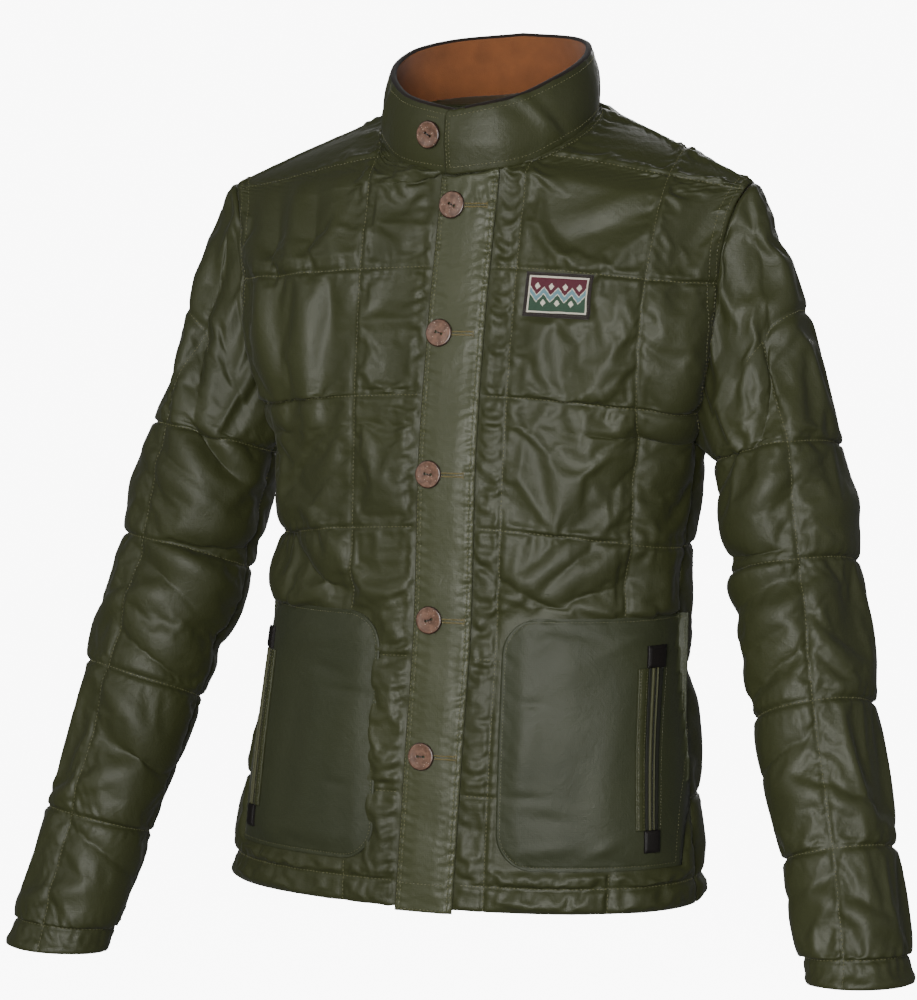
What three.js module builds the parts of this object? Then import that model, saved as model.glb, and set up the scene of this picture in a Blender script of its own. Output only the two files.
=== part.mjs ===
import * as THREE from 'three';

// A quilted reversible jacket as it is worn, in millimetres. +Z is up and the front faces -Y.
// The origin is the middle of the neck, level with the high points of the shoulders. "Left" and
// "right" are the wearer's, so the left front is at +X and laps over the right one.

const SHELL = 3; // cloth, wadding and lining where a line is stitched through them
const PUFF = 6.5; // how far the wadding stands above that in the middle of a quilted cell
const PUFF_SPAN = 70; // a cell at least this wide reaches the full height
const SEAM_GAP = 0.3; // between two pieces at a seam
const LAID_GAP = 1.5; // under a flat piece that follows a curved panel
const TRIM = 1.2; // thickness of the thin stitched-on pieces
const DEGREE = Math.PI / 180;

// The inside of the body at each height: the middle of the front and of the back, half the
// width, where the side seam runs, how far it all hangs to one side, and the front's meeting line.
const BODY = [
  { z: -690, front: -152, back: 73, half: 206, seam: -47, lean: -10, meet: -3 },
  { z: -560, front: -144, back: 66, half: 190, seam: -44, lean: -5, meet: 3 },
  { z: -430, front: -131, back: 66, half: 174, seam: -36, lean: -1, meet: 7 },
  { z: -320, front: -126, back: 82, half: 180, seam: -20, lean: 0, meet: 8 },
  { z: -200, front: -107, back: 94, half: 184, seam: -14, lean: 0, meet: 9 },
  { z: -120, front: -92, back: 88, half: 184, seam: -14, lean: 0, meet: 11 },
  { z: -72, front: -84.6, back: 81, half: 184, seam: -14, lean: 0, meet: 12 },
  { z: -4, front: -84, back: 66, half: 184, seam: -14, lean: 0, meet: 12 },
];

// The armhole seam is a loop round the arm, higher than it is deep, that leans in at the bottom.
const ARMHOLE = { top: -83, bottom: -290, y: -15, ahead: 31, behind: 47 };
const ARMHOLE_SIDE = [
  { z: -290, x: 184 },
  { z: -240, x: 199 },
  { z: -190, x: 208 },
  { z: -140, x: 213 },
  { z: -100, x: 222 },
  { z: -83, x: 230 },
];

// The neck seam, and the collar's top edge, are loops round the neck: the turn is 0 at the front.
const NECK = { width: 89, topWidth: 82, depth: 76, y: -10, shoulderTurn: 112 };
const NECK_RISE = [
  { turn: 0, seam: -72, top: -22 },
  { turn: 35, seam: -65, top: -10 },
  { turn: 60, seam: -50, top: 5 },
  { turn: 90, seam: -30, top: 22 },
  { turn: 112, seam: -18, top: 33 },
  { turn: 145, seam: -8, top: 42 },
  { turn: 180, seam: -5, top: 46 },
];

// Stitched lines and seams across the panels, from the hem up: their height in the middle and at
// the side or armhole, the grid steps up to the next line, how far the panel has turned towards
// the side where it ends, and how straight it runs (1 is a straight shoulder seam).
const FRONT_LINES = [
  { name: 'hem', middle: -673, side: -673, steps: 1, turn: 90, straight: 0, stitched: 1 },
  { name: 'hem_stitch', middle: -652, side: -652, steps: 3, turn: 90, straight: 0, stitched: 1 },
  { name: 'sixth', middle: -579, side: -587, steps: 4, turn: 90, straight: 0, stitched: 1 },
  { name: 'fifth', middle: -468, side: -482, steps: 4, turn: 90, straight: 0, stitched: 1 },
  { name: 'fourth', middle: -362, side: -380, steps: 3, turn: 90, straight: 0, stitched: 1 },
  { name: 'armpit', middle: -276, side: -290, steps: 1, turn: 88, straight: 0, stitched: 0 },
  { name: 'third', middle: -254, side: -268, steps: 4, turn: 84, straight: 0, stitched: 1 },
  { name: 'second', middle: -150, side: -163, steps: 3, turn: 62, straight: 0.2, stitched: 1 },
  { name: 'neck', middle: -72, side: -104, steps: 3, turn: 42, straight: 0.55, stitched: 0 },
  { name: 'first', neck: 46, side: -88, steps: 3, turn: 25, straight: 0.8, stitched: 1 },
  { name: 'shoulder', neck: 112, side: -83, steps: 0, turn: 0, straight: 1, stitched: 1 },
];
const BACK_LINES = [
  { name: 'hem', middle: -673, side: -673, steps: 1, turn: 90, straight: 0, stitched: 1 },
  { name: 'hem_stitch', middle: -652, side: -652, steps: 3, turn: 90, straight: 0, stitched: 1 },
  { name: 'sixth', middle: -579, side: -587, steps: 4, turn: 90, straight: 0, stitched: 1 },
  { name: 'fifth', middle: -468, side: -482, steps: 4, turn: 90, straight: 0, stitched: 1 },
  { name: 'fourth', middle: -362, side: -380, steps: 3, turn: 90, straight: 0, stitched: 1 },
  { name: 'armpit', middle: -276, side: -290, steps: 1, turn: 88, straight: 0, stitched: 0 },
  { name: 'third', middle: -254, side: -268, steps: 4, turn: 84, straight: 0, stitched: 1 },
  { name: 'second', middle: -150, side: -163, steps: 4, turn: 60, straight: 0.1, stitched: 1 },
  { name: 'first', middle: -48, side: -96, steps: 2, turn: 35, straight: 0.5, stitched: 1 },
  { name: 'neck', middle: -5, side: -85, steps: 2, turn: 15, straight: 0.85, stitched: 0 },
  { name: 'shoulder', neck: 112, side: -83, steps: 0, turn: 0, straight: 1, stitched: 1 },
];
const FULLNESS = 0.6; // 0.55 bends a panel as an ellipse, more is squarer
const SHOULDER_CROWN = 2; // how far the shoulder seam bows up

// Stitched lines up the panels, by their distance from the middle of the body at three heights.
const FRONT_COLUMNS = {
  left: [
    { name: 'placket_edge', hem: 24, waist: 33, chest: 37, steps: 1 },
    { name: 'inner_line', hem: 48, waist: 53, chest: 58, steps: 4 },
    { name: 'outer_line', hem: 144, waist: 148, chest: 166, steps: 3 },
  ],
  right: [
    { name: 'placket_edge', hem: 29, waist: 19, chest: 15, steps: 2 },
    { name: 'inner_line', hem: 76, waist: 78, chest: 81, steps: 6 },
  ],
};
const BACK_COLUMNS = [
  { name: 'inner_line', hem: 60, waist: 60, chest: 60, steps: 4 },
  { name: 'outer_line', hem: 170, waist: 150, chest: 165, steps: 3 },
];
const COLUMN_HEIGHTS = { hem: -673, waist: -430, chest: -110 };

// Short slit at the foot of each side seam.
const VENT = { top: -612, open: 3.5 };

// Placket: a strip sewn over the left front's edge, which covers the meeting line.
const PLACKET = { lift: 0.6, half: 25, below: 4, bottom: -676, thick: 2.2, columns: 4, rows: 20 };

// Patch pockets, with round corners towards the middle, and the zip near their outer edge.
const POCKET = {
  inner: 58, rightInset: -9, outer: 187, flare: 1, top: -434, bottom: -638, corner: 30,
  flatMargin: 30, thick: 3, columns: 10, rows: 10,
};
const ZIP = {
  x: 166, slant: 3, top: -476, bottom: -606, tape: 9, tapeThick: 0.8, welt: 7, weltThick: 1.6,
  tabWidth: 13, tabHeight: 18, tabThick: 1.6, seat: 0.6,
};

// Woven patch on the left chest.
const PATCH = { lift: PUFF - 0.1, x: 96, z: -174, width: 56, height: 34.5, thick: TRIM };

// Buttons: how far each stands from the meeting line, and its height.
const BUTTON = { stand: 0.95, radius: 11.5, thick: 2.6, bevel: 0.8, hole: 1.2, holeSpread: 2.6 };
const BUTTONS = [
  { name: 'button_1', aside: -12, z: -101 },
  { name: 'button_2', aside: -13, z: -205 },
  { name: 'button_3', aside: -14, z: -319 },
  { name: 'button_4', aside: -10, z: -438 },
  { name: 'button_5', aside: -9, z: -549 },
];
const COLLAR_BUTTON = { name: 'collar_button', turn: -14.5, height: 0.5 };

// Collar: a stand of one strip, lapped at the front, with a suede lining inside it.
const COLLAR = {
  thick: 3.6, bow: 2.5, seat: 3.7, frontSeat: 0.65, lapGap: 0.4, lining: TRIM, liningEdge: 0.04,
  underEnd: 8, lapEnd: -5, lapStart: 45, lapFull: 20, steps: 44, rows: 4,
};

// Sleeves: stitched rings down the arm, for each arm's own pose. Each is an ellipse across the
// arm's line, half as wide and as deep as given (inside). Level is how far it gives way to the
// horizontal, and the steps are the grid's, up to the next ring.
const SLEEVE_RINGS = {
  left: [
    { name: 'second', x: 254, y: -14, z: -302, wide: 46, deep: 56, level: 0, steps: 4 },
    { name: 'third', x: 274, y: -30, z: -395, wide: 46, deep: 51, level: 0, steps: 4 },
    { name: 'fourth', x: 301, y: -62, z: -506, wide: 43, deep: 46, level: 0, steps: 4 },
    { name: 'fifth', x: 332, y: -93, z: -614, wide: 39, deep: 41, level: 0.2, steps: 3 },
    { name: 'cuff_stitch', x: 353, y: -118, z: -690, wide: 38, deep: 38, level: 0.75, steps: 1 },
    { name: 'cuff', x: 359, y: -125, z: -710, wide: 40, deep: 40, level: 0.85, steps: 0 },
  ],
  right: [
    { name: 'second', x: 254, y: -14, z: -302, wide: 50, deep: 57, level: 0, steps: 4 },
    { name: 'third', x: 274, y: -32, z: -400, wide: 53, deep: 53, level: 0, steps: 4 },
    { name: 'fourth', x: 302, y: -62, z: -510, wide: 48, deep: 46, level: 0, steps: 4 },
    { name: 'fifth', x: 331, y: -93, z: -630, wide: 42, deep: 41, level: 0.2, steps: 3 },
    { name: 'cuff_stitch', x: 351, y: -119, z: -717, wide: 40, deep: 38, level: 0.75, steps: 1 },
    { name: 'cuff', x: 357, y: -126, z: -738, wide: 42, deep: 40, level: 0.85, steps: 0 },
  ],
};
const CAP = { start: 4.6, steps: 8, outward: 0.5, fall: 0.85, fullness: 0.62, ringTurn: 80 };
// Stitched lines down the sleeve, by their turn round the arm at each end. The front and the back
// one join the top sleeve to the under sleeve.
const SLEEVE_LINES = {
  front: { armhole: 55, cuff: 95 },
  under: { armhole: 180, cuff: 205 },
  back: { armhole: -65, cuff: -40 },
};
const SLEEVE_PARTS = {
  top: { lines: ['back', 'front'], steps: 6 },
  under: { lines: ['front', 'under', 'back'], steps: 5 },
};
const RING_COUNT = SLEEVE_RINGS.left.length;
const SLEEVE_LINE_SPACING = 110; // from one stitched ring to the next

// The largest folds. On a panel: where the middle of each lies, how its line leans, half its
// length, half its width and its height (a trough is negative).
const PANEL_FOLDS = {
  left: [
    { x: 120, z: -415, lean: 0.35, long: 70, wide: 16, rise: -5 },
    { x: 150, z: -445, lean: 0.5, long: 45, wide: 14, rise: 4 },
    { x: 165, z: -330, lean: -0.5, long: 60, wide: 18, rise: -4 },
  ],
  right: [
    { x: 120, z: -405, lean: 0.7, long: 70, wide: 16, rise: -6 },
    { x: 150, z: -425, lean: 0.8, long: 60, wide: 15, rise: 5 },
    { x: 150, z: -215, lean: 3, long: 60, wide: 17, rise: -4 },
  ],
  back: [
    { x: 90, z: -420, lean: 0.3, long: 90, wide: 20, rise: -6 },
    { x: -80, z: -440, lean: -0.25, long: 90, wide: 20, rise: -6 },
    { x: 150, z: -215, lean: 2, long: 90, wide: 22, rise: -5 },
    { x: -150, z: -220, lean: -2, long: 90, wide: 22, rise: -5 },
  ],
};
// On a sleeve: the turn and the distance down the arm of its middle, and the same sizes.
const SLEEVE_FOLDS = [
  { turn: 60, down: 0.8, lean: 0.9, long: 75, wide: 17, rise: -6 },
  { turn: 120, down: 1.1, lean: 0.7, long: 60, wide: 16, rise: -6 },
  { turn: 150, down: 1.85, lean: -0.2, long: 60, wide: 15, rise: -7 },
  { turn: 130, down: 2.25, lean: 0.25, long: 55, wide: 14, rise: -5 },
  { turn: 200, down: 2.6, lean: 0.1, long: 60, wide: 15, rise: -5 },
  { turn: -20, down: 1.5, lean: 0.2, long: 60, wide: 18, rise: 4 },
];

const CLOTH = { color: 0x434936, roughness: 0.42, metalness: 0 };
const POCKET_CLOTH = { color: 0x48503f, roughness: 0.45, metalness: 0 };
const SUEDE = { color: 0x8a5a36, roughness: 0.9, metalness: 0 };
const SHELL_BUTTON = { color: 0x8c6a5e, roughness: 0.5, metalness: 0 };
const ZIP_TAPE = { color: 0x2a2c22, roughness: 0.7, metalness: 0 };
const TAB_LEATHER = { color: 0x1c1713, roughness: 0.75, metalness: 0 };
const PATCH_WEAVE = { color: 0xd8d2bd, roughness: 0.8, metalness: 0 };

// Smooth curve through a table's rows, read at one value of its key column. It never swings past
// a row, and it runs on in a straight line beyond the first and the last.
function readTable(table, key, at, column) {
  const slopeOf = (i) =>
    (table[i + 1][column] - table[i][column]) / (table[i + 1][key] - table[i][key]);
  const last = table.length - 1;
  let i = 0;
  while (i < last - 1 && at > table[i + 1][key]) i += 1;
  const tangent = (row) => {
    if (row === 0) return slopeOf(0);
    if (row === last) return slopeOf(last - 1);
    const before = slopeOf(row - 1);
    const after = slopeOf(row);
    return before * after <= 0 ? 0 : (2 * before * after) / (before + after);
  };
  const start = table[i][column];
  const end = table[i + 1][column];
  const span = table[i + 1][key] - table[i][key];
  const t = (at - table[i][key]) / span;
  if (t < 0) return start + tangent(i) * span * t;
  if (t > 1) return end + tangent(i + 1) * span * (t - 1);
  const t2 = t * t;
  const t3 = t2 * t;
  return (
    (2 * t3 - 3 * t2 + 1) * start +
    (t3 - 2 * t2 + t) * span * tangent(i) +
    (3 * t2 - 2 * t3) * end +
    (t3 - t2) * span * tangent(i + 1)
  );
}

function numbered(list) {
  return list.map((line, index) => ({ ...line, index }));
}

function smoothStep(from, to, value) {
  const t = THREE.MathUtils.clamp((value - from) / (to - from), 0, 1);
  return t * t * (3 - 2 * t);
}

// Height of the wadding across a cell, from 0 at one stitched line to 0 at the next.
function puffProfile(fraction) {
  const fromMiddle = Math.abs(2 * fraction - 1);
  return Math.sqrt(1 - fromMiddle ** 3);
}

function foldRise(folds, across, up) {
  let rise = 0;
  for (const fold of folds) {
    const length = Math.hypot(1, fold.lean);
    const dx = across - fold.x;
    const dz = up - fold.z;
    const along = (dx + fold.lean * dz) / length;
    const beside = (dz - fold.lean * dx) / length;
    rise += fold.rise * Math.exp(-((along / fold.long) ** 2) - (beside / fold.wide) ** 2);
  }
  return rise;
}

function turnsFromFront(turn) {
  return Math.abs(((turn + 900) % 360) - 180);
}

// Neck seam or collar edge at one turn round the neck, in degrees from the front towards +X.
function neckPoint(turn, edge = 'seam') {
  const angle = turn * DEGREE;
  const around = turnsFromFront(turn);
  const width = edge === 'top' ? NECK.topWidth : NECK.width;
  return new THREE.Vector3(
    width * Math.sin(angle),
    NECK.y - NECK.depth * Math.cos(angle),
    readTable(NECK_RISE, 'turn', around, edge),
  );
}

// Armhole seam at one turn round the arm: 0 at the top, 90 at the front, 180 under the arm.
function armholePoint(turn) {
  const { top, bottom, y, ahead, behind } = ARMHOLE;
  const angle = turn * DEGREE;
  const z = (top + bottom) / 2 + ((top - bottom) / 2) * Math.cos(angle);
  const reach = Math.sin(angle) > 0 ? ahead : behind;
  return new THREE.Vector3(
    readTable(ARMHOLE_SIDE, 'z', z, 'x'),
    y - reach * Math.sin(angle),
    z,
  );
}

function armholeTurn(z) {
  const { top, bottom } = ARMHOLE;
  const cosine = (z - (top + bottom) / 2) / ((top - bottom) / 2);
  return Math.acos(THREE.MathUtils.clamp(cosine, -1, 1)) / DEGREE;
}

// Point of a panel's inside, on the +X half of the body. Row counts the lines up from the hem and
// across runs from the middle, 0, to the side seam or armhole, 1. Face is 1 in front, -1 behind.
function panelPoint(lines, face, row, across, meetSide) {
  const table = numbered(lines);
  const neckRow = table.findIndex((line) => line.name === 'neck');
  const read = (column) => readTable(table, 'index', row, column);
  const sideHeight = read('side');
  const middleColumn = face > 0 ? 'front' : 'back';
  let start;
  if (row <= neckRow) {
    const height = readTable(table.slice(0, neckRow + 1), 'index', row, 'middle');
    const aside = face > 0 ? meetSide * readTable(BODY, 'z', height, 'meet') : 0;
    const lean = meetSide * readTable(BODY, 'z', height, 'lean');
    const middle = readTable(BODY, 'z', height, middleColumn);
    start = new THREE.Vector3(aside + (face > 0 ? 0 : lean), middle, height);
  } else {
    const meeting = meetSide * BODY[BODY.length - 1].meet;
    const first = face > 0 ? Math.asin(meeting / NECK.width) / DEGREE : 180;
    const stops = table.slice(neckRow).map((line) => ({ index: line.index, neck: line.neck }));
    stops[0].neck = first;
    if (stops[1].neck === undefined) stops[1].neck = NECK.shoulderTurn;
    start = neckPoint(readTable(stops, 'index', row, 'neck'));
  }
  let end;
  if (sideHeight <= ARMHOLE.bottom) {
    const lean = meetSide * readTable(BODY, 'z', sideHeight, 'lean');
    const half = readTable(BODY, 'z', sideHeight, 'half');
    end = new THREE.Vector3(half + lean, readTable(BODY, 'z', sideHeight, 'seam'), sideHeight);
  } else {
    end = armholePoint(face * armholeTurn(sideHeight));
  }
  const straight = THREE.MathUtils.clamp(read('straight'), 0, 1);
  const turn = THREE.MathUtils.clamp(read('turn'), 0, 90) * DEGREE;
  const wide = end.x - start.x;
  const deep = Math.abs(end.y - start.y);
  const third = end.clone().sub(start).divideScalar(3);
  const crown = SHOULDER_CROWN * straight;
  const bowFirst = start.clone().add(new THREE.Vector3(FULLNESS * wide, 0, 0));
  const reach = FULLNESS * (wide * Math.cos(turn) + deep * Math.sin(turn));
  const endWay = new THREE.Vector3(Math.cos(turn), face * Math.sin(turn), 0);
  const bowLast = end.clone().addScaledVector(endWay, -reach);
  const rise = new THREE.Vector3(0, 0, crown);
  bowFirst.lerp(start.clone().add(third).add(rise), straight);
  bowLast.lerp(end.clone().sub(third).add(rise), straight);
  return new THREE.CubicBezierCurve3(start, bowFirst, bowLast, end).getPoint(across);
}

// Where a stitched line up the panel crosses a row, as the share of the way across.
function acrossAt(point, row, x) {
  let low = 0;
  let high = 1;
  if (point(row, high).x <= x) return high;
  for (let i = 0; i < 30; i += 1) {
    const middle = (low + high) / 2;
    if (point(row, middle).x < x) low = middle;
    else high = middle;
  }
  return (low + high) / 2;
}

function columnX(column, z) {
  const table = ['hem', 'waist', 'chest'].map((name) => ({
    z: COLUMN_HEIGHTS[name],
    x: column[name],
  }));
  return readTable(table, 'z', THREE.MathUtils.clamp(z, -690, -60), 'x');
}

// One half of the body's surface as a function of row and share across, with where its stitched
// lines run. Side is 1 for the wearer's left and -1 for the right.
function makeSurface(lines, columns, face, side, folds) {
  const flat = (row, across) => panelPoint(lines, face, row, across, side);
  const point = (row, across) => {
    const place = flat(row, across);
    place.x *= side;
    return place;
  };
  const ends = { low: 0, high: 1 };
  const stops = (row) => {
    const found = [ends.low];
    columns.forEach((column, index) => {
      const height = flat(row, 0.5).z;
      const least = found[index] + 0.02;
      found.push(Math.max(least, acrossAt(flat, row, columnX(column, height))));
    });
    found.push(ends.high);
    return found;
  };
  return { lines, columns, side, face, folds, point, flat, stops };
}

// Finds the row and share across of the point with this distance aside and this height.
function locate(surface, aside, z) {
  let low = -0.3;
  let high = surface.lines.length - 1.02;
  let row = 0;
  let across = 0;
  for (let i = 0; i < 24; i += 1) {
    row = (low + high) / 2;
    across = acrossAt(surface.flat, row, aside);
    if (surface.flat(row, across).z < z) low = row;
    else high = row;
  }
  return { row, across };
}

function surfaceNormal(surface, row, across) {
  const step = 0.004;
  const along = surface
    .point(row, Math.min(1, across + step))
    .sub(surface.point(row, Math.max(0, across - step)));
  const up = surface.point(row + step, across).sub(surface.point(row - step, across));
  const normal = along.cross(up).normalize();
  return surface.face * surface.side > 0 ? normal : normal.negate();
}

// A sheet is a list of places, the height of the wall at each, and four-sided faces.
function gridSheet(rows, columns, place, height, flip) {
  const sheet = { places: [], heights: [], faces: [] };
  for (let i = 0; i < rows; i += 1) {
    for (let j = 0; j < columns; j += 1) {
      sheet.places.push(place(i, j));
      sheet.heights.push(height(i, j));
      if (i === 0 || j === 0) continue;
      const corners = [
        (i - 1) * columns + j - 1,
        (i - 1) * columns + j,
        i * columns + j,
        i * columns + j - 1,
      ];
      sheet.faces.push(flip ? corners.reverse() : corners);
    }
  }
  return sheet;
}

function joinSheets(first, second) {
  const sheet = {
    places: [...first.places],
    heights: [...first.heights],
    faces: [...first.faces],
  };
  const keyOf = (place) => place.toArray().map((value) => value.toFixed(3)).join(' ');
  const known = new Map(first.places.map((place, index) => [keyOf(place), index]));
  const moved = second.places.map((place, index) => {
    const key = keyOf(place);
    if (known.has(key)) return known.get(key);
    sheet.places.push(place);
    sheet.heights.push(second.heights[index]);
    return sheet.places.length - 1;
  });
  for (const face of second.faces) sheet.faces.push(face.map((corner) => moved[corner]));
  return sheet;
}

function sheetNormals(sheet) {
  const normals = sheet.places.map(() => new THREE.Vector3());
  for (const face of sheet.faces) {
    const [a, b, c, d] = face.map((corner) => sheet.places[corner]);
    const normal = c.clone().sub(a).cross(d.clone().sub(b));
    for (const corner of face) normals[corner].add(normal);
  }
  return normals.map((normal) => normal.normalize());
}

// Thickens a sheet outward by its heights into one closed wall. Base moves its inside out too.
function wall(sheet, base = 0) {
  const normals = sheetNormals(sheet);
  const count = sheet.places.length;
  const points = [];
  for (const sign of [1, 0]) {
    sheet.places.forEach((place, index) => {
      const lift = base + sign * sheet.heights[index];
      points.push(...place.clone().addScaledVector(normals[index], lift).toArray());
    });
  }
  const triangles = [];
  const edges = new Map();
  for (const [a, b, c, d] of sheet.faces) {
    triangles.push(a, b, c, a, c, d);
    triangles.push(a + count, c + count, b + count, a + count, d + count, c + count);
    for (const [from, to] of [[a, b], [b, c], [c, d], [d, a]]) {
      const back = `${to} ${from}`;
      if (edges.has(back)) edges.delete(back);
      else edges.set(`${from} ${to}`, [from, to]);
    }
  }
  for (const [from, to] of edges.values()) {
    triangles.push(to, from, from + count, to, from + count, to + count);
  }
  const geometry = new THREE.BufferGeometry();
  geometry.setAttribute('position', new THREE.Float32BufferAttribute(points, 3));
  geometry.setIndex(triangles);
  return geometry;
}

const jacket = new THREE.Group();

function addPiece(name, geometry, finish) {
  const mesh = new THREE.Mesh(geometry, new THREE.MeshStandardMaterial(finish));
  mesh.name = name;
  jacket.add(mesh);
  return mesh;
}

// Grid rows of a panel: its lines and the steps between them.
function gridRows(lines) {
  const rows = [];
  lines.forEach((line, index) => {
    for (let i = 0; i < line.steps; i += 1) rows.push(index + i / line.steps);
  });
  rows.push(lines.length - 1 - 0.01);
  return rows;
}

// Share of the way between the stitched lines on either side of a row.
function rowFraction(lines, row) {
  const stitched = numbered(lines).filter((line) => line.stitched);
  for (let i = 1; i < stitched.length; i += 1) {
    if (row <= stitched[i].index) {
      return (row - stitched[i - 1].index) / (stitched[i].index - stitched[i - 1].index);
    }
  }
  return 1;
}

function ventOpening(z) {
  return VENT.open * THREE.MathUtils.clamp((VENT.top - z) / (VENT.top - COLUMN_HEIGHTS.hem), 0, 1);
}

// One half panel as a sheet. Flat gives the places where the cloth is stitched down flat.
function panelSheet(surface, columnSteps, flat) {
  const { lines, side, face, folds } = surface;
  const rows = gridRows(lines);
  const spots = rows.map((row) => {
    const stops = surface.stops(row);
    const end = surface.flat(row, 1);
    const width = end.distanceTo(surface.flat(row, 0)) * 1.15;
    stops[stops.length - 1] = 1 - (SEAM_GAP / 2 + ventOpening(end.z)) / width;
    if (face > 0) stops[0] = SEAM_GAP / 2 / width;
    const list = [];
    columnSteps.forEach((steps, cell) => {
      const cellWidth = (stops[cell + 1] - stops[cell]) * width;
      const first = cell === 0 ? 0 : 1;
      for (let i = first; i <= steps; i += 1) {
        const fraction = i / steps;
        const across = THREE.MathUtils.lerp(stops[cell], stops[cell + 1], fraction);
        list.push({ row, across, fraction, cellWidth, cell });
      }
    });
    return list;
  });
  const place = (i, j) => {
    const spot = spots[i][j];
    const at = surface.point(spot.row, spot.across);
    const nearEdge = smoothStep(0, 0.12, spot.across) * smoothStep(0, 0.1, 1 - spot.across);
    const nearNeck = 1 - smoothStep(-130, -90, at.z);
    const free = underPocket(at) && face > 0 ? 0 : nearEdge * nearNeck;
    const rise = free * foldRise(folds, face > 0 ? Math.abs(at.x) : at.x, at.z);
    return at.addScaledVector(surfaceNormal(surface, spot.row, spot.across), rise);
  };
  const height = (i, j) => {
    const spot = spots[i][j];
    const at = surface.point(spot.row, spot.across);
    if (flat(at, spot)) return SHELL;
    const puff = puffProfile(spot.fraction) * puffProfile(rowFraction(lines, spot.row));
    return SHELL + PUFF * Math.min(1, spot.cellWidth / PUFF_SPAN) * puff;
  };
  return gridSheet(spots.length, spots[0].length, place, height, face * side < 0);
}

const surfaces = {
  left: makeSurface(FRONT_LINES, FRONT_COLUMNS.left, 1, 1, PANEL_FOLDS.left),
  right: makeSurface(FRONT_LINES, FRONT_COLUMNS.right, 1, -1, PANEL_FOLDS.right),
  backLeft: makeSurface(BACK_LINES, BACK_COLUMNS, -1, 1, PANEL_FOLDS.back),
  backRight: makeSurface(BACK_LINES, BACK_COLUMNS, -1, -1, PANEL_FOLDS.back),
};

function underPocket(at) {
  const margin = POCKET.flatMargin;
  const aside = Math.abs(at.x);
  return (
    at.z < POCKET.top + margin && at.z > POCKET.bottom - margin &&
    aside > POCKET.inner - margin && aside < POCKET.outer + margin
  );
}

function addFront(name, surface, columnSteps) {
  const flat = (at, spot) => spot.cell === 0 || underPocket(at);
  addPiece(name, wall(panelSheet(surface, columnSteps, flat)), CLOTH);
}

function addBack() {
  const steps = [...BACK_COLUMNS.map((column) => column.steps), 3];
  const never = () => false;
  const left = panelSheet(surfaces.backLeft, steps, never);
  const right = panelSheet(surfaces.backRight, steps, never);
  addPiece('back', wall(joinSheets(left, right)), CLOTH);
}

addFront('front_left', surfaces.left, [2, 1, 4, 3]);
addFront('front_right', surfaces.right, [2, 2, 7]);
addBack();

// A place on the outside of a front, this far above the cloth at its stitched lines.
function liftFrom(surface, spot, lift) {
  const normal = surfaceNormal(surface, spot.row, spot.across);
  return surface.point(spot.row, spot.across).addScaledVector(normal, SHELL + lift);
}

function frontSpot(x, z) {
  const surface = x > readTable(BODY, 'z', z, 'meet') ? surfaces.left : surfaces.right;
  return { surface, spot: locate(surface, surface.side * x, z) };
}

// Share across that lies this many millimetres further from the middle along a row.
function beside(surface, spot, distance) {
  const step = 0.01;
  const low = surface.flat(spot.row, Math.max(0, spot.across - step));
  const high = surface.flat(spot.row, Math.min(1, spot.across + step));
  return Math.min(0.995, spot.across + (distance * 2 * step) / low.distanceTo(high));
}

// Placket: one strip from the neck seam to just below the hem.
function addPlacket() {
  const { half, below, bottom, thick, columns, rows } = PLACKET;
  const place = (i, j) => {
    const share = i / rows;
    const top = neckPoint(0).z - below;
    const middle = readTable(BODY, 'z', THREE.MathUtils.lerp(bottom, top, share), 'meet');
    const x = middle + half * ((2 * j) / columns - 1);
    const neckTurn = Math.asin(x / NECK.width) / DEGREE;
    const upper = neckPoint(neckTurn).z - below;
    const { surface, spot } = frontSpot(x, THREE.MathUtils.lerp(bottom, upper, share));
    return liftFrom(surface, spot, PLACKET.lift);
  };
  addPiece('placket', wall(gridSheet(rows + 1, columns + 1, place, () => thick)), CLOTH);
}

// A piece laid on a front between two edges, each a share across at a height.
function addLaid(name, surface, heights, edges, columns, lift, thick, finish) {
  const place = (i, j) => {
    const [from, to] = edges(heights[i]);
    const across = THREE.MathUtils.lerp(from.across, to.across, j / columns);
    const row = THREE.MathUtils.lerp(from.row, to.row, j / columns);
    return liftFrom(surface, { row, across }, lift);
  };
  const sheet = gridSheet(heights.length, columns + 1, place, () => thick, surface.side < 0);
  addPiece(name, wall(sheet), finish);
}

function spread(from, to, steps) {
  return Array.from({ length: steps + 1 }, (_, i) => THREE.MathUtils.lerp(from, to, i / steps));
}

// Pocket edge towards the middle, drawn in round the corners.
function pocketInner(z) {
  const { inner, top, bottom, corner } = POCKET;
  const fromEnd = Math.min(top - z, z - bottom, corner);
  return inner + corner - Math.sqrt(corner ** 2 - (corner - fromEnd) ** 2);
}

// How far the zip and the pocket's outer edge swing with the body on the wearer's right.
function sideLean(surface, z) {
  return surface.side > 0 ? 0 : -readTable(BODY, 'z', z, 'lean') / 2;
}

function addPocket(name, surface) {
  const { outer, flare, top, bottom, corner, thick, columns, rows } = POCKET;
  const curve = [0, 0.07, 0.32, 1].map((share) => share * corner);
  const heights = [
    ...curve.map((distance) => bottom + distance),
    ...spread(bottom + corner, top - corner, rows - 6).slice(1, -1),
    ...curve.map((distance) => top - distance).reverse(),
  ];
  const inset = surface.side > 0 ? 0 : POCKET.rightInset;
  const edges = (z) => [
    locate(surface, pocketInner(z) + inset, z),
    locate(surface, outer + (flare * (top - z)) / (top - bottom) + sideLean(surface, z), z),
  ];
  addLaid(name, surface, heights, edges, columns, LAID_GAP, thick, POCKET_CLOTH);
}

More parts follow.
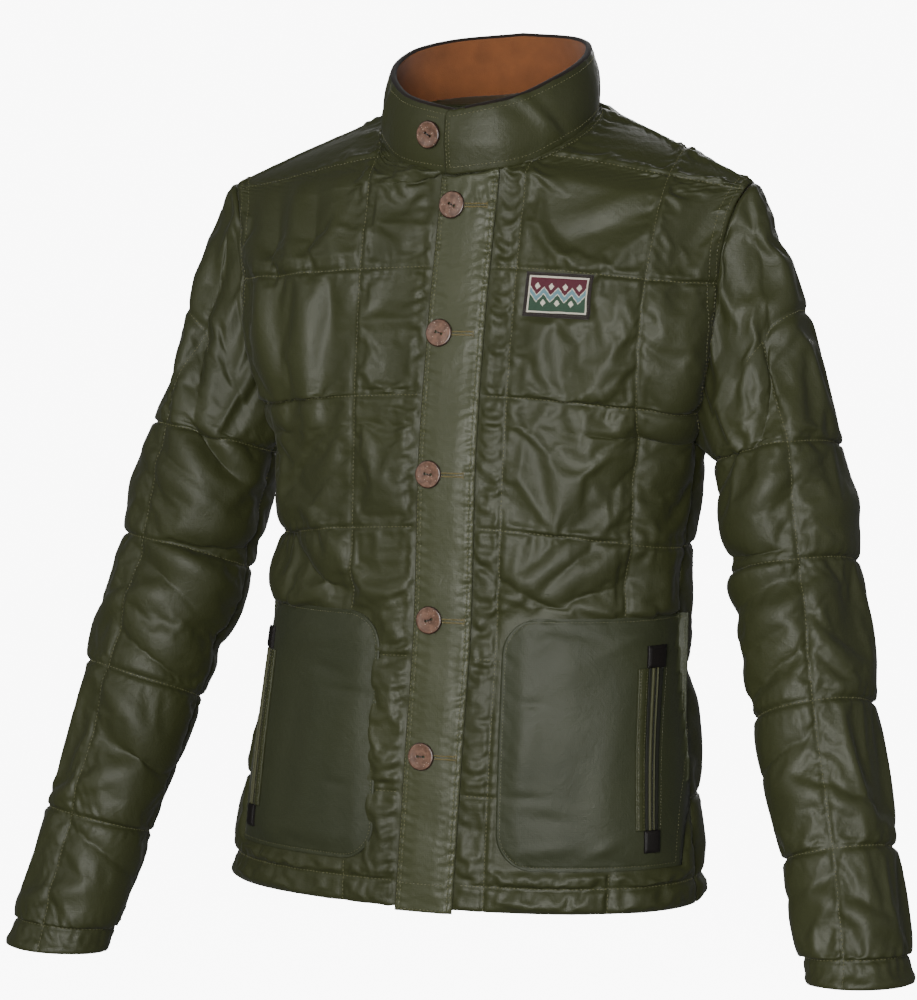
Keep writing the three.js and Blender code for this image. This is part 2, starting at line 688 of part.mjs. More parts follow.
// The zip lies on the pocket: its tape, the stitched welt beside it and a leather tab at each end.
function addZip(name, surface) {
  const { x, slant, top, bottom, tape, welt, tabWidth, tabHeight } = ZIP;
  const lift = LAID_GAP + POCKET.thick + ZIP.seat;
  const strip = (part, heights, from, to, thick, finish) => {
    const edges = (z) => {
      const aside = x + (slant * (top - z)) / (top - bottom) + sideLean(surface, z);
      const spot = locate(surface, aside, z);
      return [from, to].map((shift) => ({ ...spot, across: beside(surface, spot, shift) }));
    };
    addLaid(`${name}_${part}`, surface, heights, edges, 2, lift, thick, finish);
  };
  const half = tape / 2;
  strip('tape', spread(bottom, top, 6), -half, half, ZIP.tapeThick, ZIP_TAPE);
  const weltEdge = -half - SEAM_GAP;
  strip('welt', spread(bottom, top, 6), weltEdge - welt, weltEdge, ZIP.weltThick, CLOTH);
  const tabFrom = top + SEAM_GAP;
  const tabTo = bottom - SEAM_GAP;
  const side = tabWidth / 2;
  strip('tab_top', spread(tabFrom, tabFrom + tabHeight, 2), -side, side, ZIP.tabThick, TAB_LEATHER);
  strip('tab_bottom', spread(tabTo - tabHeight, tabTo, 2), -side, side, ZIP.tabThick, TAB_LEATHER);
}

function addPatch() {
  const { x, z, width, height, thick } = PATCH;
  const heights = spread(z - height / 2, z + height / 2, 3);
  const edges = (level) => {
    const spot = locate(surfaces.left, x, level);
    const shifts = [-width / 2, width / 2];
    return shifts.map((shift) => ({ ...spot, across: beside(surfaces.left, spot, shift) }));
  };
  addLaid('chest_patch', surfaces.left, heights, edges, 4, PATCH.lift, thick, PATCH_WEAVE);
}

function addButton(name, place, normal) {
  const { radius, thick, bevel, hole, holeSpread } = BUTTON;
  const round = (x, size, count) =>
    Array.from({ length: count }, (_, i) => {
      const angle = (2 * Math.PI * i) / count;
      return new THREE.Vector2(x + size * Math.cos(angle), size * Math.sin(angle));
    });
  const outline = new THREE.Shape(round(0, radius - bevel, 20));
  for (const centre of [-holeSpread, holeSpread]) {
    outline.holes.push(new THREE.Path(round(centre, hole + bevel, 6).reverse()));
  }
  const options = { depth: thick - 2 * bevel, bevelThickness: bevel, bevelSize: bevel };
  const geometry = new THREE.ExtrudeGeometry(outline, { ...options, bevelSegments: 1 });
  geometry.translate(0, 0, bevel);
  const button = addPiece(name, geometry, SHELL_BUTTON);
  button.quaternion.setFromUnitVectors(new THREE.Vector3(0, 0, 1), normal);
  button.position.copy(place);
}

function addPlacketButton({ name, aside, z }) {
  const x = readTable(BODY, 'z', z, 'meet') + aside;
  const { surface, spot } = frontSpot(x, z);
  const level = (height) => {
    const near = frontSpot(x, height);
    return near.surface.point(near.spot.row, near.spot.across);
  };
  const upward = level(z + BUTTON.radius).sub(level(z - BUTTON.radius)).normalize();
  const normal = surfaceNormal(surface, spot.row, spot.across);
  normal.addScaledVector(upward, -normal.dot(upward)).normalize();
  addButton(name, liftFrom(surface, spot, PLACKET.lift + PLACKET.thick + BUTTON.stand), normal);
}

// A turn round the collar, from its under end at the front, round by the wearer's right side and
// the back, to the end that laps over it. The share runs from 0 to 1 along the strip.
function collarTurn(share) {
  return THREE.MathUtils.lerp(COLLAR.underEnd, COLLAR.lapEnd - 360, share);
}

function collarOut(turn) {
  return new THREE.Vector3(Math.sin(turn * DEGREE), -Math.cos(turn * DEGREE), 0);
}

// Inside of the collar at a turn and a share of its height.
function collarPlace(turn, height, out = 0) {
  const { thick, lapStart, lapFull } = COLLAR;
  const lap = (thick + COLLAR.lapGap) * smoothStep(lapStart, lapFull, turn + 360);
  const foot = neckPoint(turn, 'seam');
  foot.z += COLLAR.seat * THREE.MathUtils.lerp(COLLAR.frontSeat, 1, smoothStep(0, lapStart, turnsFromFront(turn)));
  const bow = COLLAR.bow * Math.sin(Math.PI * height);
  const place = foot.lerp(neckPoint(turn, 'top'), height);
  return place.addScaledVector(collarOut(turn), bow + lap + out);
}

// The collar's strip and the suede that lines it, which stops short of its edges and of the lap.
function addCollar() {
  const { thick, lining, liningEdge, steps, rows } = COLLAR;
  const strip = (margin, from, to, out, high) => {
    const place = (i, j) => {
      const height = THREE.MathUtils.clamp(i / rows, margin, 1 - margin);
      return collarPlace(collarTurn((from + j) / steps), height, out);
    };
    return wall(gridSheet(rows + 1, to - from + 1, place, () => high, true));
  };
  addPiece('collar', strip(0, 0, steps, 0, thick), CLOTH);
  const lined = strip(liningEdge, 1, steps - 2, -SEAM_GAP - lining, lining);
  addPiece('collar_lining', lined, SUEDE);
}

function addCollarButton() {
  const { name, turn, height } = COLLAR_BUTTON;
  const place = collarPlace(turn, height, COLLAR.thick + BUTTON.stand);
  addButton(name, place, collarOut(turn));
}

// Middle line of the arm and the size of the sleeve, at a distance down it in rings.
function sleeveRing(side, down) {
  const rings = numbered(SLEEVE_RINGS[side > 0 ? 'left' : 'right']);
  const at = Math.max(0, down - 1);
  const read = (column, index) => readTable(rings, 'index', index, column);
  const centre = (index) =>
    new THREE.Vector3(side * read('x', index), read('y', index), read('z', index));
  const way = centre(at + 0.02).sub(centre(at - 0.02)).normalize();
  way.lerp(new THREE.Vector3(0, 0, -1), read('level', at)).normalize();
  const outward = new THREE.Vector3(side, 0, 0);
  outward.addScaledVector(way, -outward.dot(way)).normalize();
  const forward = way.clone().cross(outward).multiplyScalar(side);
  return { centre: centre(at), way, outward, forward, wide: read('wide', at), deep: read('deep', at) };
}

// Inside of a sleeve. Down is 0 at the armhole and counts the rings below it; the turn round the
// arm is 0 outside, 90 in front and 180 under the arm.
function sleevePoint(side, down, turn) {
  const ring = sleeveRing(side, down);
  const angle = turn * DEGREE;
  const place = ring.centre.clone();
  place.addScaledVector(ring.outward, ring.wide * Math.cos(angle));
  place.addScaledVector(ring.forward, ring.deep * Math.sin(angle));
  if (down >= 1) return place;
  const seam = armholePoint(turn);
  seam.x = side * (seam.x + CAP.start);
  const length = CAP.fullness * seam.distanceTo(place);
  const leave = new THREE.Vector3(side * CAP.outward, 0, -CAP.fall).normalize();
  const first = seam.clone().addScaledVector(leave, length / 3);
  const last = place.clone().addScaledVector(ring.way, -length / 3);
  return new THREE.CubicBezierCurve3(seam, first, last, place).getPoint(down);
}

function sleeveNormal(side, down, turn) {
  const step = 0.01;
  const along = sleevePoint(side, down + step, turn).sub(sleevePoint(side, down, turn));
  const round = sleevePoint(side, down, turn + 1).sub(sleevePoint(side, down, turn - 1));
  return round.cross(along).normalize().multiplyScalar(side);
}

// Turn of a stitched line down the arm: each runs forward on its way to the cuff.
function sleeveLine(line, down) {
  return THREE.MathUtils.lerp(line.armhole, line.cuff, Math.min(1, down / RING_COUNT));
}

function sleeveRows() {
  const rows = [];
  for (let i = 0; i < CAP.steps; i += 1) rows.push(i / CAP.steps);
  SLEEVE_RINGS.left.forEach((ring, index) => {
    for (let i = 0; i < Math.max(1, ring.steps); i += 1) {
      rows.push(index + 1 + (ring.steps ? i / ring.steps : 0));
    }
  });
  return rows;
}

// Share of the way between two stitched rings; the cap has one more across its outer half.
function ringFraction(down, turn) {
  if (down >= 1) return down % 1;
  return Math.abs(turn) < CAP.ringTurn ? (2 * down) % 1 : down;
}

function addSleevePart(name, side, { lines, steps }) {
  const rows = sleeveRows();
  const spots = rows.map((down) => {
    const turns = lines.map((line) => sleeveLine(SLEEVE_LINES[line], down));
    turns.forEach((turn, index) => {
      if (index && turn < turns[index - 1]) turns[index] += 360;
    });
    const half = SEAM_GAP / 2 / SLEEVE_RINGS.left[3].wide / DEGREE;
    turns[0] += half;
    turns[turns.length - 1] -= half;
    const list = [];
    for (let cell = 0; cell < turns.length - 1; cell += 1) {
      for (let i = cell ? 1 : 0; i <= steps; i += 1) {
        const turn = THREE.MathUtils.lerp(turns[cell], turns[cell + 1], i / steps);
        list.push({ down, turn, fraction: i / steps });
      }
    }
    return list;
  });
  const place = (i, j) => {
    const { down, turn } = spots[i][j];
    const at = sleevePoint(side, down, turn);
    const rise = SLEEVE_FOLDS.reduce((total, fold) => {
      const round = ((turn - fold.turn + 540) % 360 - 180) * DEGREE * SLEEVE_RINGS.left[1].wide;
      const along = (down - fold.down) * SLEEVE_LINE_SPACING;
      return total + foldRise([{ ...fold, x: 0, z: 0 }], round, along);
    }, 0);
    const free = smoothStep(0, 0.3, down) * smoothStep(0, 1, RING_COUNT - down);
    return at.addScaledVector(sleeveNormal(side, down, turn), rise * free);
  };
  const height = (i, j) => {
    const { down, turn, fraction } = spots[i][j];
    const last = down >= RING_COUNT - 1;
    const puff = last ? 0 : puffProfile(fraction) * puffProfile(ringFraction(down, turn));
    const underArm = Math.cos(turn * DEGREE) < -0.5 ? smoothStep(0.2, 1.6, down) : 1;
    return SHELL + PUFF * puff * underArm;
  };
  const sheet = gridSheet(spots.length, spots[0].length, place, height, side < 0);
  addPiece(name, wall(sheet), CLOTH);
}

addPlacket();
addPocket('pocket_left', surfaces.left);
addPocket('pocket_right', surfaces.right);
addZip('zip_left', surfaces.left);
addZip('zip_right', surfaces.right);
addPatch();
addCollar();
addCollarButton();
BUTTONS.forEach(addPlacketButton);
for (const [name, side] of [['left', 1], ['right', -1]]) {
  for (const [part, shape] of Object.entries(SLEEVE_PARTS)) {
    addSleevePart(`sleeve_${name}_${part}`, side, shape);
  }
}

export default jacket;
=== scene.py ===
"""A quilted reversible jacket in its worn pose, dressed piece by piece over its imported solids.

All sizes are in millimetres, in the solids' own frame: the origin is the middle of the neck, +Z is
up and the front faces -Y. "Left" and "right" are the wearer's, so the left front is at +X.
"""
import math

import bpy
import numpy as np
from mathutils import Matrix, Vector


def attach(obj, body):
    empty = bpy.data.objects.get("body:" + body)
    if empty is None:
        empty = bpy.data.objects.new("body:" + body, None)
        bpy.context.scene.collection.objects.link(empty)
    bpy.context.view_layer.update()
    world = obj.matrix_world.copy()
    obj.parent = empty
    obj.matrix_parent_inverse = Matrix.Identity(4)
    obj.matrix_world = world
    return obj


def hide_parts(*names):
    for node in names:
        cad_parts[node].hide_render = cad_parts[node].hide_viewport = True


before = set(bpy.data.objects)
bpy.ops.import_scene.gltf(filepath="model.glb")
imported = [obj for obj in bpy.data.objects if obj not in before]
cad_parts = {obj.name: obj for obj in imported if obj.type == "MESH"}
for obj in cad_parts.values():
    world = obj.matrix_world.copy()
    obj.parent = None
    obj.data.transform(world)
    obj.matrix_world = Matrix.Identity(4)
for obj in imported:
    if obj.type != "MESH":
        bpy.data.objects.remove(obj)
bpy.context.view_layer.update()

# Camera: the height, distance and turn that put collar, hem and cuffs where the photograph has
# them. The long lens stands three metres off, as a studio camera does.
MM = 0.001
CAMERA_TURN, CAMERA_RISE = 22, 5
CAMERA_DISTANCE, CAMERA_ASIDE, CAMERA_TARGET_Z = 3000, 31, -350


def put_in_scene(name, data):
    made = bpy.data.objects.new(name, data)
    bpy.context.scene.collection.objects.link(made)
    return made


def way_to(turn, rise):
    """The way out from the jacket, at degrees round from its front and up."""
    turn, rise = math.radians(turn), math.radians(rise)
    return Vector((
        math.sin(turn) * math.cos(rise), -math.cos(turn) * math.cos(rise), math.sin(rise),
    ))


back_way, right_way = way_to(CAMERA_TURN, CAMERA_RISE), way_to(CAMERA_TURN + 90, 0)
camera = put_in_scene("camera", bpy.data.cameras.new("camera"))
camera.data.lens, camera.data.sensor_width = 127, 36
target = Vector((0, 0, CAMERA_TARGET_Z)) - CAMERA_ASIDE * right_way
camera.location = (target + CAMERA_DISTANCE * back_way) * MM
camera.rotation_euler = back_way.to_track_quat("Z", "Y").to_euler()
bpy.context.scene.camera = camera

# Studio: a large soft light in front and a little up, weaker ones at both sides and behind, and a dim
# room. The pale floor and the pale screen round it are only seen: they don't light the jacket.
LIGHT_AWAY = 2.8
LIGHTS = [
    {"name": "key_light", "turn": 12, "rise": 8, "size": 1.4, "power": 86},
    {"name": "left_light", "turn": -45, "rise": 25, "size": 1.2, "power": 9},
    {"name": "right_light", "turn": 85, "rise": 20, "size": 1.2, "power": 5},
    {"name": "back_light", "turn": 190, "rise": 28, "size": 1.6, "power": 52},
]
for light in LIGHTS:
    data = bpy.data.lights.new(light["name"], "AREA")
    data.size, data.energy = light["size"], light["power"]
    lamp = put_in_scene(light["name"], data)
    way = way_to(light["turn"], light["rise"])
    lamp.location = way * LIGHT_AWAY + Vector((0, 0, CAMERA_TARGET_Z * MM))
    lamp.rotation_euler = way.to_track_quat("Z", "Y").to_euler()

room = bpy.data.worlds.new("dim_room")
room.use_nodes = True
glow = room.node_tree.nodes["Background"]
glow.inputs["Color"].default_value = (1, 1, 1, 1)
glow.inputs["Strength"].default_value = 0.15
bpy.context.scene.world = room

white = bpy.data.materials.new("white_seamless_paper")
white.use_nodes = True
shader = white.node_tree.nodes["Principled BSDF"]
shader.inputs["Base Color"].default_value = (0.9, 0.9, 0.9, 1)
shader.inputs["Roughness"].default_value = 0.9
shader.inputs["Emission Color"].default_value = (1, 1, 1, 1)
shader.inputs["Emission Strength"].default_value = 9.0
reach, level, sides = 9.0, -1.42, 48
ring = [
    (reach * math.cos(k * math.tau / sides), reach * math.sin(k * math.tau / sides))
    for k in range(sides)
]
around = [(k, (k + 1) % sides) for k in range(sides)]
for name, levels in (("floor", [level]), ("screen", [level - 0.02, 9.0])):
    points = [(*place, z) for z in levels for place in ring]
    faces = [tuple(range(sides))]
    if name == "screen":
        faces = [(a, b, b + sides, a + sides) for a, b in around] + [tuple(range(sides, 2 * sides))]
    mesh = bpy.data.meshes.new(name)
    mesh.from_pydata(points, [], faces)
    mesh.materials.append(white)
    card = put_in_scene(name, mesh)
    card.visible_diffuse = card.visible_glossy = card.visible_shadow = False

# Front panels: olive nylon taffeta, quilted over thin wadding onto a tan suede-like cloth, which
# is the jacket's other side. Lines of lockstitch draw the layers together, and the cells between
# them swell and crease. The left front laps over the right one.
NYLON, NYLON_DEEP, THREAD = "#373A1E", "#2B2E15", "#66653E"
SUEDE, SUEDE_DARK = "#8A532D", "#633B20"
STITCHED, PUFF, PUFF_SPAN = 2.6, 6.2, 70  # wall at a stitched line, its swell, and a full cell
SEAM_GAP, MOST_MOVE, LEAST_WALL = 0.3, 7, 1.2  # at seams, in the simulation, and left after it
PUFF_START, NECK_CALM = 0.8, (-100, -66)  # swell before the simulation, and where folds fade out
NECK_SIZE = {"width": 89, "top_width": 82, "depth": 76, "y": -10}
ARMHOLE = {"top": -83, "bottom": -290, "y": -15, "ahead": 31, "behind": 47}
FULLNESS, SHOULDER_CROWN = 0.6, 2


def table(names, *rows):
    """A table's named columns, from its rows."""
    return dict(zip(names.split(), np.array(rows, float).T))


# The inside of the body at each height: the middle of the front and of the back, half its width,
# the side seam, how far it all hangs to one side, and the line where the fronts meet.
BODY = table(
    "z front back half seam lean meet",
    (-690, -152, 73, 206, -47, -10, -3),
    (-560, -144, 66, 190, -44, -5, 3),
    (-430, -131, 66, 174, -36, -1, 7),
    (-320, -126, 82, 180, -20, 0, 8),
    (-200, -107, 94, 184, -14, 0, 9),
    (-120, -92, 88, 184, -14, 0, 11),
    (-72, -84.6, 81, 184, -14, 0, 12),
    (-4, -84, 66, 184, -14, 0, 12),
)
ARMHOLE_SIDE = table(
    "z x", (-290, 184), (-240, 199), (-190, 208), (-140, 213), (-100, 222), (-83, 230),
)
NECK_RISE = table(
    "turn seam top",
    (0, -72, -22), (35, -65, -10), (60, -50, 5), (90, -30, 22), (112, -18, 33), (145, -8, 42),
    (180, -5, 46),
)
# Lines across the fronts from the hem up: their heights in the middle (or turn round the neck) and
# at the side, the grid steps to the next, the panel's turn where it ends, how straight the line
# runs, and whether it is stitched.
LINE_NAMES = "middle side steps turn straight stitched"
LOW_LINES = (
    (-673, -673, 6, 90, 0, 1), (-652, -652, 18, 90, 0, 1), (-579, -587, 28, 90, 0, 1),
    (-468, -482, 26, 90, 0, 1), (-362, -380, 22, 90, 0, 1), (-276, -290, 6, 88, 0, 0),
    (-254, -268, 26, 84, 0, 1),
)
FRONT_LINES = table(
    LINE_NAMES,
    *LOW_LINES,
    (-150, -163, 20, 62, 0.2, 1),
    (-72, -104, 12, 42, 0.55, 0),
    (46, -88, 14, 25, 0.8, 1),
    (112, -83, 0, 0, 1, 1),
)
FRONT_NECK_LINE = 8
FRONT_COLUMNS = {
    1: [(24, 33, 37), (48, 53, 58), (144, 148, 166)],
    -1: [(29, 19, 15), (76, 78, 81)],
}
FRONT_STEPS = {1: [4, 6, 26, 16], -1: [4, 16, 34]}
COLUMN_HEIGHTS = (-673, -430, -110)
POCKET = {"inner": 58, "right_inset": -9, "outer": 187, "flare": 1, "top": -434, "bottom": -638}
POCKET_CORNER, POCKET_MARGIN = 30, 2
PATCH = {"x": 95, "z": -172.5, "width": 57, "height": 36}
VENT_TOP, VENT_OPEN = -612, 3.5

# The deepest folds of each front: place, lean of the line, half length, half width and rise.
FRONT_FOLDS = {
    1: table(
        "x z lean long wide rise",
        (120, -415, 0.35, 70, 12, -5), (150, -445, 0.5, 45, 12, 4), (165, -330, -0.5, 60, 14, -4),
        (92, -392, 0.9, 50, 8, 3.5), (70, -410, -0.5, 30, 7, -3), (135, -385, 0.6, 40, 7, 3),
        (185, -385, -0.3, 40, 9, 4), (190, -240, 3, 60, 9, 4), (176, -215, 4, 60, 8, -4),
        (120, -120, 0.25, 50, 12, -3), (90, -220, -0.15, 60, 12, 1.5), (105, -310, 5, 50, 12, 2),
        (165, -118, 0.9, 45, 10, 3), (140, -95, 0.5, 45, 9, 2.5), (185, -140, 1.6, 40, 9, -3),
    ),
    -1: table(
        "x z lean long wide rise",
        (120, -405, 0.7, 70, 12, -6), (150, -425, 0.8, 60, 12, 5), (150, -215, 6, 60, 12, -4),
        (128, -200, 8, 55, 9, 3.5), (170, -205, 6, 50, 9, 3.5), (105, -195, 12, 40, 8, -2.5),
        (100, -375, 1.0, 50, 8, 4), (90, -415, 0.3, 40, 8, -3), (140, -385, 0.5, 50, 8, -3.5),
        (60, -420, -0.4, 30, 7, 3), (165, -300, 2.5, 50, 11, -3), (120, -320, 8, 50, 12, 2),
        (150, -118, 7, 42, 8, 4), (131, -122, 9, 45, 8, -4), (170, -125, 6, 40, 8, -3.5),
        (110, -112, 9, 35, 8, 2.5), (186, -140, 5, 40, 8, 3),
    ),
}


def linear(hex_colour):
    """The linear red, green, blue and alpha of an sRGB hex colour."""
    shares = [int(hex_colour[i:i + 2], 16) / 255 for i in (1, 3, 5)]
    return [s / 12.92 if s <= 0.04045 else ((s + 0.055) / 1.055) ** 2.4 for s in shares] + [1]


def add_node(material, kind, settings=None, links=None):
    """Adds a node, with its attributes or inputs set and its inputs linked."""
    made = material.node_tree.nodes.new(kind)
    for name, value in (settings or {}).items():
        if isinstance(name, int) or name in made.inputs:
            made.inputs[name].default_value = value
        else:
            setattr(made, name, value)
    for name, source in (links or {}).items():
        material.node_tree.links.new(source, made.inputs[name])
    return made


def new_material(name):
    """An empty material, and the places on a piece that its patterns follow."""
    material = bpy.data.materials.new(name)
    material.use_nodes = True
    material.node_tree.nodes.clear()
    return material, add_node(material, "ShaderNodeTexCoord").outputs["Object"]


def finish_material(material, shader):
    add_node(material, "ShaderNodeOutputMaterial", links={"Surface": shader.outputs["BSDF"]})
    return material


def smooth_step(low, high, value):
    t = np.clip((np.asarray(value, float) - low) / (high - low), 0, 1)
    return t * t * (3 - 2 * t)


def read(columns, key, at, column):
    """Smooth curve through a table's rows, which never swings past one of them."""
    xs, ys = columns[key], columns[column]
    slopes = np.diff(ys) / np.diff(xs)
    tangents = np.concatenate([slopes[:1], slopes[:-1], slopes[-1:]])
    before, after = slopes[:-1], slopes[1:]
    agree = before * after > 0
    tangents[1:-1] = np.where(agree, 2 * before * after / np.where(agree, before + after, 1), 0)
    at = np.asarray(at, float)
    i = np.clip(np.searchsorted(xs, at, side="right") - 1, 0, len(xs) - 2)
    span = xs[i + 1] - xs[i]
    t = np.clip((at - xs[i]) / span, 0, 1)
    curve = (
        (2 * t**3 - 3 * t**2 + 1) * ys[i] + (t**3 - 2 * t**2 + t) * span * tangents[i]
        + (3 * t**2 - 2 * t**3) * ys[i + 1] + (t**3 - t**2) * span * tangents[i + 1]
    )
    curve = curve + np.minimum(at - xs[0], 0) * tangents[0]
    return curve + np.maximum(at - xs[-1], 0) * tangents[-1]


def read_line(lines, column, row):
    """A column of the lines' table, read at a row that may lie between two lines."""
    index = np.arange(len(lines[column]), dtype=float)
    return read({"row": index, column: lines[column]}, "row", row, column)


def stack(*parts):
    return np.stack(np.broadcast_arrays(*parts), axis=-1)


def unit(vectors):
    return vectors / np.maximum(np.linalg.norm(vectors, axis=-1, keepdims=True), 1e-9)


def from_front(turn):
    """Degrees between a turn and the front, 0 to 180."""
    return np.abs((turn + 900) % 360 - 180)


def neck_points(turn, edge="seam"):
    """Neck seam or collar edge at turns round the neck, in degrees from the front towards +X."""
    turn = np.asarray(turn, float)
    width = NECK_SIZE["top_width" if edge == "top" else "width"]
    return stack(
        width * np.sin(np.radians(turn)),
        NECK_SIZE["y"] - NECK_SIZE["depth"] * np.cos(np.radians(turn)),
        read(NECK_RISE, "turn", from_front(turn), edge),
    )


def armhole_points(turn):
    """Armhole seam at turns round the arm: 0 is the top, 90 the front and 180 under the arm."""
    sine, cosine = np.sin(np.radians(turn)), np.cos(np.radians(turn))
    top, bottom = ARMHOLE["top"], ARMHOLE["bottom"]
    z = (top + bottom) / 2 + (top - bottom) / 2 * cosine
    reach_out = np.where(sine > 0, ARMHOLE["ahead"], ARMHOLE["behind"])
    return stack(read(ARMHOLE_SIDE, "z", z, "x"), ARMHOLE["y"] - reach_out * sine, z)


def panel_points(lines, neck_line, face, side, row, across):
    """Inside of a panel on the +X half of the body, at rows of its lines and shares across."""
    row, across = np.broadcast_arrays(np.asarray(row, float), np.asarray(across, float))
    below = {name: lines[name][:neck_line + 1] for name in lines}
    height = read_line(below, "middle", np.minimum(row, neck_line))
    aside = side * read(BODY, "z", height, "meet" if face > 0 else "lean")
    middle = stack(aside, read(BODY, "z", height, "front" if face > 0 else "back"), height)
    meeting = math.degrees(math.asin(side * BODY["meet"][-1] / NECK_SIZE["width"]))
    turns = {
        "row": np.arange(neck_line, len(lines["middle"]), dtype=float),
        "turn": lines["middle"][neck_line:].copy(),
    }
    turns["turn"][0] = meeting if face > 0 else 180
    neck = neck_points(read(turns, "row", np.maximum(row, neck_line), "turn"))
    start = np.where((row <= neck_line)[..., None], middle, neck)

    side_height = read_line(lines, "side", row)
    low = stack(
        read(BODY, "z", side_height, "half") + side * read(BODY, "z", side_height, "lean"),
        read(BODY, "z", side_height, "seam"),
        side_height,
    )
    top, bottom = ARMHOLE["top"], ARMHOLE["bottom"]
    cosine = np.clip((side_height - (top + bottom) / 2) / ((top - bottom) / 2), -1, 1)
    high = armhole_points(face * np.degrees(np.arccos(cosine)))
    end = np.where((side_height <= bottom)[..., None], low, high)

    straight = np.clip(read_line(lines, "straight", row), 0, 1)[..., None]
    turn = np.radians(np.clip(read_line(lines, "turn", row), 0, 90))
    wide, deep = end[..., 0] - start[..., 0], np.abs(end[..., 1] - start[..., 1])
    third, rise = (end - start) / 3, straight * np.array([0, 0, SHOULDER_CROWN])
    reach_in = FULLNESS * (wide * np.cos(turn) + deep * np.sin(turn))
    end_way = stack(np.cos(turn), face * np.sin(turn), 0)
    first = start + FULLNESS * wide[..., None] * np.array([1, 0, 0])
    last = end - reach_in[..., None] * end_way
    first = first * (1 - straight) + (start + third + rise) * straight
    last = last * (1 - straight) + (end - third + rise) * straight
    t = across[..., None]
    return (
        (1 - t) ** 3 * start + 3 * (1 - t) ** 2 * t * first + 3 * (1 - t) * t**2 * last + t**3 * end
    )


def across_at(points, row, x):
    """Share across where a line up the panel, this far from the middle, crosses each row."""
    low, high = np.zeros_like(row), np.ones_like(row)
    beyond = points(row, high)[..., 0] <= x
    for _ in range(26):
        middle = (low + high) / 2
        inside = points(row, middle)[..., 0] < x
        low, high = np.where(inside, middle, low), np.where(inside, high, middle)
    return np.where(beyond, 1.0, (low + high) / 2)


def grid_rows(lines):
    rows = [i + k / steps for i, steps in enumerate(lines["steps"].astype(int)) for k in range(steps)]
    return np.array(rows + [len(lines["steps"]) - 1.01])


def cell_share(stitched_at, value):
    """Share of the way between the stitched lines on either side."""
    stops = np.asarray(stitched_at, float)
    i = np.clip(np.searchsorted(stops, value, side="left") - 1, 0, len(stops) - 2)
    return np.clip((value - stops[i]) / (stops[i + 1] - stops[i]), 0, 1)


def swell(share):
    """Height of the wadding across a cell, from one stitched line to the next."""
    return np.sqrt(np.maximum(0, 1 - np.abs(2 * share - 1) ** 3))


def fold(aside, above, lean, long, wide, rise):
    """Rise of one soft fold, at places this far aside of and above its middle."""
    length = math.hypot(1, lean)
    along, beside = (aside + lean * above) / length, (above - lean * aside) / length
    return rise * np.exp(-((along / long) ** 2) - (beside / wide) ** 2)


def fold_rise(folds, x, z):
    return sum(fold(x - x0, z - z0, *shape) for x0, z0, *shape in zip(*folds.values()))


def grid_normals(places, outward, closed=False):
    """Outward normals of a grid of places, by the slopes along its rows and columns."""
    if closed:
        along = np.roll(places, -1, axis=1) - np.roll(places, 1, axis=1)
    else:
        along = np.gradient(places, axis=1)
    return unit(np.cross(along, np.gradient(places, axis=0))) * outward


def panel_grid(lines, neck_line, face, side, columns, steps):
    """The inside places of a panel's fine grid, and where each lies in its quilted cell."""
    def half(row, across):
        return panel_points(lines, neck_line, face, side, row, across)

    rows = grid_rows(lines)
    height = half(rows, np.full_like(rows, 0.5))[:, 2]
    ends = half(rows, np.ones_like(rows))
    arc_share = 1.15  # a panel is about this much longer along its bend than straight across
    width = np.linalg.norm(ends - half(rows, np.zeros_like(rows)), axis=1) * arc_share
    stops = [np.full_like(rows, SEAM_GAP / 2) / width if face > 0 else np.zeros_like(rows)]
    for column in columns:
        line = {"z": np.array(COLUMN_HEIGHTS, float), "x": np.array(column, float)}
        x = read(line, "z", np.clip(height, -690, -60), "x")
        stops.append(np.maximum(stops[-1] + 0.02, across_at(half, rows, x)))
    slit = VENT_OPEN * np.clip((VENT_TOP - ends[:, 2]) / (VENT_TOP - COLUMN_HEIGHTS[0]), 0, 1)
    stops.append(1 - (SEAM_GAP / 2 + slit) / width)

    across, share, cell, full = [stops[0]], [0.0], [0], [np.zeros_like(rows)]
    for index, count in enumerate(steps):
        for k in range(1, count + 1):
            across.append(stops[index] + (stops[index + 1] - stops[index]) * k / count)
            share.append(k / count)
            cell.append(index)
            full.append((stops[index + 1] - stops[index]) * width / PUFF_SPAN)
    across, full = np.array(across).T, np.minimum(1, np.array(full).T)
    row = np.repeat(rows[:, None], across.shape[1], axis=1)
    places = half(row, across)
    places[..., 0] *= side
    return {
        "row": row, "across": across, "places": places, "full": full,
        "share": np.array(share), "cell": np.array(cell),
    }


def upsampled(grid, closed=False):
    """A grid of twice the fineness, smoothed as a cubic spline surface is."""
    for axis in (0, 1):
        moved = np.moveaxis(grid, axis, 0)
        if axis == 1 and closed:
            before, after = np.roll(moved, 1, axis=0), np.roll(moved, -1, axis=0)
            fine = np.empty((2 * len(moved), *moved.shape[1:]))
            fine[0::2], fine[1::2] = (before + 6 * moved + after) / 8, (moved + after) / 2
        else:
            fine = np.empty((2 * len(moved) - 1, *moved.shape[1:]))
            fine[0::2], fine[1::2] = moved, (moved[1:] + moved[:-1]) / 2
            fine[2:-2:2] = (moved[:-2] + 6 * moved[1:-1] + moved[2:]) / 8
        grid = np.moveaxis(fine, 0, axis)
    return grid


def grid_index(rows, columns, first=0, closed=False):
    """The numbers of a grid's points, with the first column again at the end of a closed one."""
    index = first + np.arange(rows * columns).reshape(rows, columns)
    return np.concatenate([index, index[:, :1]], axis=1) if closed else index


def quads(index):
    corners = [index[:-1, :-1], index[:-1, 1:], index[1:, 1:], index[1:, :-1]]
    return np.stack(corners, axis=-1).reshape(-1, 4)


